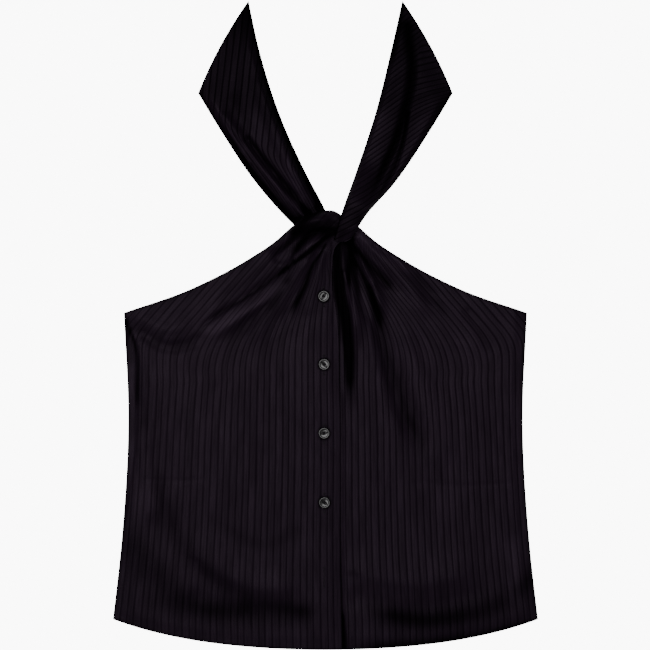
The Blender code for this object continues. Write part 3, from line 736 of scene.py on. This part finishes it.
LEFT_POCKETS = [
    Fold([(-32, 95), (-25, 103), (-14, 112.5), (8, 121)], 0.95, 5, 3),
    Fold([(14, 106), (-10, 103), (-34, 90)], 0.45, 8, 5),
    Fold([(14, 96), (-11, 94.5), (-22, 87), (-30, 77), (-36, 66)], 1, 4.4, 4),
    Fold([(6, 93), (-3, 87), (-9.4, 81), (-16.9, 74), (-24, 69), (-30.6, 65), (-38, 59.6),
          (-54, 47)], 0.95, 2.4, 2.2),
    Fold([(-34, 62), (-50, 50), (-75, 32.5), (-126, 2)], 0.55, 1.6, 2.2),
    Fold([(-34, 64), (-39, 52), (-44, 40), (-50, 26), (-60, 6)], 0.32, 3, 6),
    Fold([(-7, 87), (-17, 80), (-27, 72.6), (-37, 62.6), (-43, 56)], -0.5, 1, 1.2),
    Fold([(-1, 80), (-4.4, 74), (-11.9, 62.6), (-16.9, 51.4), (-20.5, 41), (-25.5, 31), (-31, 20),
          (-38, 6)], 0.88, 1.2, 4.6),
    Fold([(-8, 74), (-16.8, 60), (-25.6, 45), (-34.4, 27.7), (-42, 12)], -0.35, 1.4, 1.8),
    Fold([(6, 82), (5, 60), (4, 30)], 0.45, 1.4, 1),
    Fold([(8, 90), (-6, 84), (-20, 74), (-36, 62)], 0.25, 3, 3),
    Fold([(-38, 44), (-54, 26.6), (-67, 15), (-80.5, 0), (-108, -22)], 0.25, 3.6, 7),
    Fold([(-46, 38), (-74, 20), (-97, 5), (-140, -24)], -0.55, 4, 7),
    Fold([(-190, -6), (-164, -22), (-138, -18), (-108, -4)], 0.25, 6, 7),
    Fold([(-26, -289), (-73.8, -279), (-128, -244), (-165, -183), (-183, -100), (-187, -20)], 0.3, 9, 12),
    Fold([(-33, -210), (-60, -223.5), (-92, -212), (-124, -190)], 0.2, 7, 7),
    Fold([(-202.5, 2), (-196, -14), (-192.4, -28), (-191.6, -60), (-192.4, -92)], 0.7, 1.7, 2.4),
    Fold([(-206, 12), (-202, -5), (-199, -25), (-197, -48)], 0.4, 3, 4),
    Fold([(-206, -26), (-202, -60), (-202, -120), (-207, -180)], -0.4, 5, 6),
    Fold([(-190, -300), (-206, -262), (-210, -220), (-211, -160)], 0.16, 18, 12),
    Fold([(-32, -294), (-80, -296), (-125, -287), (-160, -266), (-188, -230),
          (-198, -180)], 0.42, 11, 18),
    Fold([(-60, 20), (-80, -110), (-100, -230)], 0.06, 50, 60),
    Fold([(-80, 60), (-130, 36), (-185, 16)], 0.16, 10, 12),
    Fold([(-84, -289), (-112, -290), (-140, -289), (-166, -283), (-196, -272)], 0.26, 10, 12),
    Fold([(-184, -120), (-183, -150), (-181, -172), (-180, -200)], -0.25, 12, 10),
]

# Each button: x, y, which way its hollow points in degrees
BUTTONS = [
    (-1.7, 29.4, 58.0),
    (-1.3, -39.9, -48.0),
    (-1.3, -110.0, 12.0),
    (-0.9, -180.6, -38.0),
]
BUTTON_RADIUS = 5.65
BUTTON_SHADE = 0.85
BUTTON_SHADE_WIDTH = 1.3

# The side seam has rolled round to the front here: height along the body, x
SIDE_ROLL = [
    (-330.0, -222.0),
    (-240.0, -214.0),
    (-190.0, -203.0),
    (-110.0, -192.6),
    (-60.0, -190.6),
    (-28.0, -191.6),
    (2.0, -201.6),
    (13.0, -207.0),
]
SIDE_STEP = 1.1  # how much lower the rolled edge lies

left_top_x = graph(LEFT_TOP_SHARES)
seam_x = graph(SIDE_ROLL)
left_pockets = relief(LEFT_POCKETS)
left_edge_height = graph([(-half, y) for half, y in reversed(ARMHOLE)] + ROLL_EDGE)
left_relief = relief(LEFT_FOLDS)


def left_rest(x, y):
    """The height that the left front's underside may not go below."""
    over_lap = LAP_RISE * ease((x - opening_x(y) + LAP_WIDTH + 20.0) / 18.0)
    over_strap = ROLL_REST * ease((y - left_edge_height(x) + 16.0) / 7.0) * ease((x + 50.0) / 10.0)
    return floor_of_fronts(y) + np.maximum(over_lap, over_strap)


def inside_seam(x, y):
    """0 on the back's edge where it has rolled round to the front and 1 on the left front itself."""
    return ease((x - seam_x(y) + 0.6) / 1.8)


def left_height(x, y):
    """The upper face of the left front, without its ribs."""
    flat_lap = mix(0.25, 1.0, ease((opening_x(y) - x) / 12.0))
    turned_down = ROLL_ROUND * (1.0 - ease((left_edge_height(x) - y) / 5.0)) * ease((x + 50.0) / 15.0)
    height = (loft(x, y) + left_relief(x, y)) * flat_lap + knot_rise(x, y) - turned_down
    return left_rest(x, y) + CLOTH + lift(height) - SIDE_STEP * (1.0 - inside_seam(x, y))


def light_by_buttons(x, y):
    """The share of the light that is left close round the buttons."""
    light = 1.0
    for button_x, button_y, _ in BUTTONS:
        from_rim = np.hypot(x - button_x, y - button_y) - BUTTON_RADIUS
        light = light * (1.0 - BUTTON_SHADE * np.exp(-((from_rim / BUTTON_SHADE_WIDTH) ** 2)))
    return light


def left_front_column(share):
    """The foot and the top of a column of the left front: 0 is its side seam and 1 its opening edge."""
    roll_share = LEFT_TOP_SHARES[-1][0]
    down = np.clip((share - roll_share) / (1.0 - roll_share), 0.0, 1.0)
    on_edge_x = left_top_x(share)
    top_x = np.where(share <= roll_share, on_edge_x, mix(ROLL_TOP[0], ROLL_FOOT[0], down))
    top_y = np.where(share <= roll_share, left_edge_height(on_edge_x), mix(ROLL_TOP[1], ROLL_FOOT[1], down))
    return mix(-side_half_width(HEM_CORNER_Y), opening_x(-HALF_LENGTH), share), (top_x, top_y)


def left_front_place(share, up):
    share = uneven(share, FRONT_RIBS)
    bend = mix(GATHER_BEND, ROLL_BEND, np.maximum(0.0, share - 0.5) / 0.5)

    def spread(y):
        return mix(-side_half_width(y), opening_x(y), share) + edge_swing(y) * share**4

    return drawn_in(up, *left_front_column(share), spread, bend)


def left_column_x(share, y):
    foot_x, (top_x, top_y) = left_front_column(share)
    return left_front_place(share, (y - hem_y(foot_x)) / (top_y - hem_y(foot_x)))[0]


def left_front_top(column, row):
    share = rib_share(column, FRONT_RIBS)
    x, y = left_front_place(share, front_rows(row))
    phase = front_phase(share, x, y, left_column_x, 0)
    front = inside_seam(x, y)
    height = left_height(x, y) + rib(phase, share, x, y) * mix(0.3, 1.0, front)
    light = light_left(left_pockets, x, y, from_outline(x, y)) * light_by_buttons(x, y)
    return x, y, height, phase, rib_strength(x, y) * mix(0.2, 1.0, front), light


def left_front_underside(column, row):
    x, y = left_front_place(rib_share(column, FRONT_RIBS), front_rows(row))
    return wall_underside(left_height, left_rest(x, y), x, y)


left_front_mesh = slab(FRONT_RIBS * (len(RIB_COLUMNS) - 1), FRONT_ROWS)
left_front_pattern = shape(left_front_mesh, left_front_top, left_front_underside)
left_front = add_piece("left_front", left_front_mesh, body_satin, left_front_pattern)
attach(left_front, "root")
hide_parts("front_left")


# Left strap: the left front's own strap, which comes out from under the roll and is doubled over at the top
# of the shoulder. Its ribs run up it, and out at its inner edge higher up.
STRAP_ROWS = 380
STRAP_COLUMNS = 100
STRAP_RIB_PITCH = 6.6
STRAP_WIDTH = 60.0
STRAP_LENGTH = 250.0
STRAP_MEAN_WIDTH = 55.0
STRAP_MEAN_LENGTH = 240.0
STRAP_PRESSED = STRAP_THICKNESS - 0.9  # the thickness of the strap where it is pressed flat
STRAP_CROWN = 3.2
STRAP_TURN = 1.4  # how far in from an edge the cloth starts to turn down
ROOT_GAP = 0.5
SHOULDER_BOW = 3.2
STRAP_EDGE_ROUND = 0.7
SHOULDER_ROLL = 40.0
SHOULDER_Y = 236.4  # the height of the shoulder's outer corner
PHASE_STEPS = 40

# Long edges of the strap, from the knot up: x, height along the body
LEFT_STRAP_INNER = [
    (3.0, 110.5),
    (-1.8, 120.8),
    (-18.0, 151.4),
    (-47.3, 216.6),
    (-67.7, 281.9),
    (-78.4, HALF_LENGTH),
]
LEFT_STRAP_OUTER = [(-27.5, 98.0), (-32.5, 102.6), (-69.3, 143.2), (-108.0, 200.3), (-129.8, SHOULDER_Y)]
LEFT_STRAP_FOLDS = [
    Fold([(-102, 210), (-68, 168), (-34, 124)], 2, 5, 4),
    Fold([(-78, 186), (-58, 160), (-33, 133), (-20, 119)], -3.4, 4, 3.6),
    Fold([(-66, 240), (-44, 178), (-16, 128)], 2.4, 9, 5),
    Fold([(-98, 226), (-78, 196)], -0.8, 6, 6),
]

LEFT_STRAP_POCKETS = [
    Fold([(4, 104), (-10, 133), (-31, 174), (-49, 215), (-62, 258), (-72, 300),
          (-80, 345)], 1.25, 5.4, 1.2),
    Fold([(-150, 323), (-110, 323), (-77, 323), (-40, 323), (20, 323)], 0.7, 32, 32),
    Fold([(-16, 112), (-22.5, 120.5), (-36, 136.5), (-50, 155), (-65, 173), (-86, 204)], 1.3, 4, 2.6),
    Fold([(-32, 106), (-52, 129.6), (-75.3, 157), (-91, 182), (-112, 216)], 0.95, 3.6, 1.4),
    Fold([(-24.4, 113.8), (-34.4, 123.8), (-43.1, 133.8), (-50.6, 142.5), (-60, 153.5), (-77.5, 175.4),
          (-90, 196)], -1.3, 0.9, 1.3),
    Fold([(-14, 118), (-25, 136.5), (-37.5, 161.7), (-45.5, 184.6), (-54, 212)], -0.8, 3.6, 6),
    Fold([(-34, 128), (-49, 152), (-66, 179), (-80, 203), (-94, 228)], -0.7, 10, 12),
    Fold([(-24, 134), (-34, 148), (-45, 165), (-56, 183), (-66, 204), (-74, 228)], -0.5, 6, 8),
    Fold([(-84, 180), (-95, 194), (-105, 207), (-115, 220), (-126, 236)], -0.6, 5, 6),
    Fold([(-78, 204), (-84, 214), (-90, 226), (-94, 244)], 0.3, 6, 7),
    Fold([(-78, 168), (-83.2, 175.4), (-98, 198), (-108.4, 218), (-114, 230)], -1, 1, 0.9),
    Fold([(4, 121), (-8, 119), (-26, 109), (-48, 90)], 0.8, 5, 4),
]

# Painted shade: the straps wear the body's satin darkened, with under half its colour and about half its
# sheen.
shaded_strap_satin = satin("shaded_strap_satin", (0.0046, 0.0026, 0.0050), (0.0019, 0.0010, 0.0021), 0.5)


def strap_place(inner, outer, bow):
    """A function for a strap's places: across is 0 at its inner edge, along is 0 at the knot."""
    inner, outer = path(inner), path(outer)

    def place(across, along):
        near, far = inner(along), outer(along)
        run = far - near
        outwards = np.array([-run[1], run[0]]) / np.linalg.norm(run, axis=0) * np.sign(run[0])
        return mix(near, far, across) + outwards * 4.0 * across * (1.0 - across) * bow(along)

    return place


def shoulder_bow(along):
    return SHOULDER_BOW * ease((along - 0.7) / 0.3)


def strap_thickness(folded, x, y, across, along, inner_roll, outer_roll):
    """Two layers of cloth with soft folds, rolled down along the edges and towards the shoulder's fold."""
    width = STRAP_WIDTH * mix(0.72, 1.0, ease(along / 0.5))
    crown = STRAP_CROWN * ease(across * width / inner_roll) * ease((1.0 - across) * width / outer_roll)
    crown = crown * mix(0.1, 1.0, ease((1.0 - along) * STRAP_LENGTH / SHOULDER_ROLL))
    ridges = folded(x, y) * ease(5.0 * (1.0 - along)) * ease(6.0 * np.minimum(across, 1.0 - across))
    return STRAP_PRESSED + lift(crown + ridges) * ease((along - 0.05) / 0.14)


def from_strap_edge(across, along):
    """About how far a place on a strap is from its long edges and from the fold at the shoulder."""
    from_side = np.minimum(across, 1.0 - across) * STRAP_MEAN_WIDTH
    return np.minimum(from_side, (1.0 - along) * STRAP_MEAN_LENGTH)


def strap_edge(across, along):
    """How far the rounded long edges and the fold at the shoulder turn down."""
    return STRAP_EDGE_ROUND * np.exp(-((from_strap_edge(across, along) / STRAP_TURN) ** 2))


left_strap_place = strap_place(LEFT_STRAP_INNER, LEFT_STRAP_OUTER, shoulder_bow)
left_strap_relief = relief(LEFT_STRAP_FOLDS)
left_strap_pockets = relief(LEFT_STRAP_POCKETS)
left_strap_inner_x = graph([(y, x) for x, y in LEFT_STRAP_INNER])
left_strap_outer_x = graph([(y, x) for x, y in LEFT_STRAP_OUTER])


def left_strap_phase(x, y):
    """Follows the rib at a place on the strap up to a level line, above which the ribs stand evenly."""
    step = (SHOULDER_Y - y) / PHASE_STEPS
    for count in range(PHASE_STEPS):
        middle_y = y + step * (count + 0.5)
        inner_x, outer_x = left_strap_inner_x(middle_y), left_strap_outer_x(middle_y)
        share = np.clip((x - inner_x) / (outer_x - inner_x), 0.0, 1.0)
        turn_y = mix(158.0, 222.0, share)
        along_strap = mix(-0.50, -0.78, share)
        x = x + step * mix(0.105, along_strap, ease((turn_y - middle_y) / 26.0))
    return x / STRAP_RIB_PITCH


def strap_rib(phase, x, y):
    """The height of a strap's ribs."""
    crowded = mix(0.4, 1.0, out_of_knot(x, y, 15.0, 50.0))
    return RIB_HEIGHT * crowded * rib_profile(phase)


def left_strap_top(across, along):
    x, y = left_strap_place(across, along)
    phase = left_strap_phase(x, y)
    ribbed = strap_rib(phase, x, y) * ease((along - 0.04) / 0.1)
    thickness = strap_thickness(left_strap_relief, x, y, across, along, 10.0, 7.0)
    under_roll = (left_rest(x, y) - ROOT_GAP) * (1.0 - ease((along - 0.04) / 0.08))
    height = np.maximum(thickness + ribbed - strap_edge(across, along), under_roll)
    return x, y, height, phase, 1.0, light_left(left_strap_pockets, x, y, from_strap_edge(across, along))


def left_strap_underside(across, along):
    return np.zeros_like(across)


left_strap_mesh = slab(STRAP_COLUMNS, STRAP_ROWS)
left_strap_pattern = shape(left_strap_mesh, left_strap_top, left_strap_underside)
left_strap = add_piece("left_strap", left_strap_mesh, shaded_strap_satin, left_strap_pattern)
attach(left_strap, "root")
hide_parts("strap_left")


# Right strap: cut in one with the right front. It climbs over the roll, and its gathered foot comes down over
# the right front's gathers. Its ribs run across it.
LOOP_REST = 16.2
LOOP_GAP = 0.9
LOOP_BULGE = 3.0
FOOT_BOW = 6.0
NOSE_LENGTH = 0.06  # the share of the strap that turns down at its foot
NOSE_DROP = 3.5
RIGHT_STRAP_INNER = [
    (8.5, 87.1),
    (16.4, 113.6),
    (29.7, 151.4),
    (51.1, 216.6),
    (67.4, 281.9),
    (78.4, HALF_LENGTH),
]
RIGHT_STRAP_OUTER = [(30.2, 94.2), (39.9, 109.5), (69.3, 143.2), (108.0, 200.3), (129.8, SHOULDER_Y)]
RIGHT_STRAP_FOLDS = [
    Fold([(87, 306), (89.6, 267), (86.4, 240), (77.6, 206), (71, 184.6), (62, 166), (54, 148),
          (44, 126)], -3, 5, 2.4),
    Fold([(84, 214), (80, 190), (75.7, 173), (68.7, 155), (60, 141), (48, 122)], -2, 1.8, 2.2),
    Fold([(81, 212), (75, 184), (66, 162), (56, 143), (47, 126)], 1.4, 2.4, 2.2),
    Fold([(70, 290), (56, 215), (30, 136)], 0.4, 10, 10),
]
RIGHT_STRAP_POCKETS = [
    Fold([(84.6, 300), (88.4, 264), (86.4, 240), (80, 215), (73.4, 193.7), (62, 166.3), (54, 148),
          (42, 120)], 0.85, 6.6, 2),
    Fold([(84, 214), (80, 190), (75.7, 173), (68.7, 155), (60, 141), (46, 118)], 0.8, 1.6, 1.8),
    Fold([(44, 116), (66, 148), (84, 176), (97, 200), (110, 232)], -0.7, 7, 8),
    Fold([(77, 336), (73, 300), (64, 262)], 0.65, 5, 4),
    Fold([(33, 95), (42, 106), (64, 132)], 0.4, 2, 2),
    Fold([(9, 88), (16, 113), (26, 140)], 0.4, 1.6, 1.2),
    Fold([(31, 132), (37, 148), (44, 166), (52, 190), (62, 230)], -0.75, 9, 9),
    Fold([(34, 114), (46, 126), (58, 142)], 0.3, 4, 4),
    Fold([(12, 78), (20, 86), (28, 94), (38, 104)], -1, 5, 4),
]

right_strap_rows = graph([(0.0, 0.0), (0.3, 0.2), (1.0, 1.0)])
right_strap_place = strap_place(
    RIGHT_STRAP_INNER,
    RIGHT_STRAP_OUTER,
    lambda along: shoulder_bow(along) - FOOT_BOW * ease((0.16 - along) / 0.16),
)
right_strap_relief = relief(RIGHT_STRAP_FOLDS)
right_strap_pockets = relief(RIGHT_STRAP_POCKETS)
right_strap_inner_x = graph([(y, x) for x, y in RIGHT_STRAP_INNER])


def loop_rest(along):
    """The underside of the right strap, which climbs from the floor over the roll."""
    return LOOP_REST * (1.0 - ease((along - 0.14) / 0.24))


def right_strap_phase(x, y):
    """The ribs climb across the strap, steeply up to its long trough and less so beyond it."""
    in_from_edge = x - right_strap_inner_x(y)
    trough = mix(18.0, 30.0, ease((y - 120.0) / 180.0))
    up_to_trough = mix(0.58, 0.9, ease((y - 120.0) / 50.0)) * np.minimum(in_from_edge, trough)
    past_trough = mix(0.95, 0.25, ease((y - 205.0) / 50.0)) * np.maximum(in_from_edge - trough, 0.0)
    return (y - (up_to_trough + past_trough)) / STRAP_RIB_PITCH


def right_strap_underside(across, row):
    along = right_strap_rows(row)
    x, y = right_strap_place(across, along)
    over_roll = loop_rest(along)
    over_roll_foot = np.minimum(over_roll, left_height(x, y) + RIB_HEIGHT + LOOP_GAP)
    over_roll = mix(over_roll, over_roll_foot, ease((ROLL_FOOT[1] + 5.0 - y) / 6.0))
    over_gathers = np.minimum(over_roll, right_height(x, y) + RIB_HEIGHT + LOOP_GAP)
    return mix(over_roll, over_gathers, ease((x - left_boundary_x(y) - 1.5) / 3.0))


def right_strap_top(across, row):
    along = right_strap_rows(row)
    x, y = right_strap_place(across, along)
    gathered = 1.0 - ease((along - 0.10) / 0.25)
    belly = np.sqrt(np.maximum(0.0, 1.0 - (2.0 * across - 1.0) ** 2))
    nose = ease((NOSE_LENGTH - along) / NOSE_LENGTH)
    bulge = LOOP_BULGE * gathered * belly * (1.0 - nose) - NOSE_DROP * nose * ease((x - 12.0) / 8.0)
    phase = right_strap_phase(x, y)
    thickness = strap_thickness(right_strap_relief, x, y, across, along, 7.0, 6.0) - strap_edge(across, along)
    height = loop_rest(along) + thickness + bulge + strap_rib(phase, x, y)
    return x, y, height, phase, 1.0, light_left(right_strap_pockets, x, y, from_strap_edge(across, along))


right_strap_mesh = slab(STRAP_COLUMNS, STRAP_ROWS)
right_strap_pattern = shape(right_strap_mesh, right_strap_top, right_strap_underside)
right_strap = add_piece("right_strap", right_strap_mesh, shaded_strap_satin, right_strap_pattern)
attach(right_strap, "root")
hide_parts("strap_right")


# Buttons: four glossy black shirt buttons with a rounded rim and a lens-shaped hollow across the face. Each
# is sewn to the right front through the two holes in its hollow, and stands up through its buttonhole.
BUTTON_GAP = 0.3  # between the button and the cloth
FACE_HEIGHT = 1.42
FACE_DISH = 0.010
BUTTON_STEPS = 96
HOLLOW_LENGTH = 3.9  # half of it
HOLLOW_WIDTH = 1.9  # half of it
HOLLOW_DEPTH = 0.9
HOLE_OFFSET = 1.3
HOLE_RADIUS = 0.55
HOLE_DEPTH = 1.1
THREAD_RADIUS = 0.2

# The button's rim, side and back: distance from the middle, height
BUTTON_SECTION = [
    (3.72, 1.56),
    (4.0, 1.95),
    (4.3, 2.2),
    (4.6, 2.28),
    (5.0, 2.3),
    (5.3, 2.24),
    (5.5, 2.05),
    (5.62, 1.75),
    (5.65, 1.4),
    (5.5, 0.75),
    (4.9, 0.2),
    (4.0, 0.0),
    (0.0, 0.0),
]


def button_seat(x, y):
    """The highest point of the cloth under a button."""
    across, along = np.meshgrid(np.linspace(-5.0, 5.0, 9), np.linspace(-5.0, 5.0, 9))
    return float((left_height(x + across, y + along) + BUTTON_GAP).max())


def hollowed(x, y):
    """How far the face of a button is cut away, by its hollow and its two holes."""
    half_width = HOLLOW_WIDTH * np.maximum(0.02, 1.0 - (x / HOLLOW_LENGTH) ** 2)
    hollow = HOLLOW_DEPTH * ease(1.1 * (1.0 - np.abs(y) / half_width)) * (np.abs(x) < HOLLOW_LENGTH)
    from_hole = np.hypot(np.abs(x) - HOLE_OFFSET, y)
    return hollow + HOLE_DEPTH * (1.0 - ease((from_hole - HOLE_RADIUS + 0.12) / 0.24))


def button_mesh(x, y, angle):
    """A button turned about its own axis from its section, with the hollow pressed into its face."""
    dish = [(0.12 * step, FACE_HEIGHT + FACE_DISH * (0.12 * step) ** 2) for step in range(31)]
    rings = dish + BUTTON_SECTION
    mesh = bmesh.new()
    ends = [mesh.verts.new((radius, 0.0, height)) for radius, height in rings]
    edges = [mesh.edges.new(pair) for pair in zip(ends, ends[1:])]
    bmesh.ops.spin(
        mesh,
        geom=ends + edges,
        cent=(0, 0, 0),
        axis=(0, 0, 1),
        angle=math.tau,
        steps=BUTTON_STEPS,
        use_merge=True,
    )
    bmesh.ops.remove_doubles(mesh, verts=mesh.verts[:], dist=1e-5)
    bmesh.ops.recalc_face_normals(mesh, faces=mesh.faces[:])
    for vertex in mesh.verts:
        if vertex.co.z > 1.2:
            vertex.co.z -= float(hollowed(vertex.co.x, vertex.co.y))
    bmesh.ops.rotate(mesh, verts=mesh.verts[:], matrix=Matrix.Rotation(math.radians(angle), 3, "Z"))
    bmesh.ops.translate(mesh, verts=mesh.verts[:], vec=(x, y, button_seat(x, y)))
    bmesh.ops.scale(mesh, verts=mesh.verts[:], vec=(MM, MM, MM))
    return mesh


def polished(name, colour):
    """Polished black resin with faint clouds in its colour and its gloss."""
    nodes = Nodes(name)
    place = nodes.add("TexCoord").outputs["Object"]
    clouds = nodes.noise(place, 900.0, 4.0)
    nodes.finish("Base Color", nodes.tinted(colour, nodes.varied(clouds, 0.7, 1.3)))
    nodes.finish("Roughness", nodes.varied(nodes.noise(place, 5200.0, 2.0), 0.10, 0.17))
    nodes.bump(clouds, 0.15, 0.00002)
    return nodes.material


button_black = polished("button_black", (0.012, 0.011, 0.012))
for count, spot in enumerate(BUTTONS, start=1):
    button = add_piece(f"shirt_button_{count}", button_mesh(*spot), button_black)
    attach(button, "root")
    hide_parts(f"button_{count}")


# Button thread: a few turns of black thread through the two holes of each button, down to the right front.
THREAD_TURNS = 3
BRIDGE_RISE = 0.55
BRIDGE_STEPS = 12
STRAND_SPACING = 1.7 * THREAD_RADIUS
THREAD_SINK = 0.8  # how far each strand goes down into its hole
THREAD_SPECULAR = 0.15


def thread_material(name, colour):
    """Twisted polyester thread."""
    nodes = Nodes(name)
    place = nodes.add("TexCoord").outputs["Object"]
    fibres = nodes.noise(place, 7000.0, 2.0)
    nodes.finish("Base Color", nodes.tinted(colour, nodes.varied(fibres, 0.5, 1.5)))
    nodes.finish("Roughness", nodes.varied(fibres, 0.5, 0.7))
    nodes.finish("Specular IOR Level", THREAD_SPECULAR)
    nodes.bump(fibres, 0.4, 0.00004)
    return nodes.material


def threads(name, runs, radius, finish):
    """Makes one piece of many lengths of thread, each given by its points."""
    curve = bpy.data.curves.new(name, "CURVE")
    curve.dimensions = "3D"
    curve.bevel_depth = radius * MM
    curve.bevel_resolution = 1
    curve.use_fill_caps = True
    for run in runs:
        spline = curve.splines.new("POLY")
        spline.points.add(len(run) - 1)
        for point, place in zip(spline.points, run):
            point.co = (*(value * MM for value in place), 1.0)
    drawn = bpy.data.objects.new(name, curve)
    bpy.context.scene.collection.objects.link(drawn)
    bpy.context.view_layer.update()
    finished = drawn.evaluated_get(bpy.context.evaluated_depsgraph_get())
    mesh = bmesh.new()
    mesh.from_mesh(bpy.data.meshes.new_from_object(finished))
    bpy.data.objects.remove(drawn)
    return add_piece(name, mesh, finish)


button_thread = thread_material("button_thread", (0.0095, 0.0062, 0.0102))
bridges = []
for x, y, angle in BUTTONS:
    face = button_seat(x, y) + FACE_HEIGHT - HOLLOW_DEPTH
    turn = math.radians(angle)
    for strand in range(THREAD_TURNS):
        aside = (strand - (THREAD_TURNS - 1) / 2) * STRAND_SPACING
        run = []
        for step in range(BRIDGE_STEPS + 1):
            share = step / BRIDGE_STEPS
            out = (2.0 * share - 1.0) * (HOLE_OFFSET + 0.1)
            sink = THREAD_SINK if step in (0, BRIDGE_STEPS) else 0.0
            rise = BRIDGE_RISE * math.sin(math.pi * share) ** 0.7 - sink
            along = x + out * math.cos(turn) - aside * math.sin(turn)
            up = y + out * math.sin(turn) + aside * math.cos(turn)
            run.append((along, up, face + rise - 0.1))
        bridges.append(run)
sewn_threads = threads("button_threads", bridges, THREAD_RADIUS, button_thread)
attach(sewn_threads, "root")


# Buttonholes: five slits in the left front, along the body. Each is whipped over down both sides with close
# stitches, and has a bar of stitches across each end. The lowest is empty.
BUTTONHOLE_LENGTH = 18.4
EMPTY_BUTTONHOLE = (-1.1, -256.6)
BUTTONHOLES = [(x, y - 0.6) for x, y, _ in BUTTONS] + [EMPTY_BUTTONHOLE]
SLIT_HALF_WIDTH = 0.28
STITCH_PITCH = 0.5
STITCH_REACH = 1.25
STITCH_RADIUS = 0.13
STITCH_BED = 0.12  # how high the stitches lie on the ribs
BAR_STITCHES = 5
BAR_PITCH = 0.24

# How a stitch arches: share of its width, height
STITCH_ARCH = [(0.0, -0.1), (0.15, 0.22), (0.5, 0.26), (0.85, 0.16), (1.0, -0.12)]
BAR_ARCH = [(-1.0, -0.1), (-0.8, 0.2), (0.0, 0.3), (0.8, 0.2), (1.0, -0.1)]


def on_left_front(x, y):
    return float(left_height(np.array([x]), np.array([y]))[0]) + STITCH_BED


stitches = []
for slit_x, middle_y in BUTTONHOLES:
    half = BUTTONHOLE_LENGTH / 2.0
    steps = int(BUTTONHOLE_LENGTH / STITCH_PITCH)
    for side in (-1.0, 1.0):
        for step in range(steps + 1):
            y = middle_y - half + step * STITCH_PITCH
            wander = 0.08 * math.sin(5.1 * step + side)
            run = []
            for share, rise in STITCH_ARCH:
                x = slit_x + side * (SLIT_HALF_WIDTH + share * (STITCH_REACH - SLIT_HALF_WIDTH + wander))
                run.append((x, y + 0.1 * share * side, on_left_front(x, y) + rise))
            stitches.append(run)
    for end in (-1.0, 1.0):
        for step in range(BAR_STITCHES):
            y = middle_y + end * (half + 0.1 + BAR_PITCH * step)
            xs = [slit_x + STITCH_REACH * share for share, _ in BAR_ARCH]
            stitches.append([(x, y, on_left_front(x, y) + rise) for x, (_, rise) in zip(xs, BAR_ARCH)])
buttonholes = threads("buttonhole_stitches", stitches, STITCH_RADIUS, button_thread)
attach(buttonholes, "root")
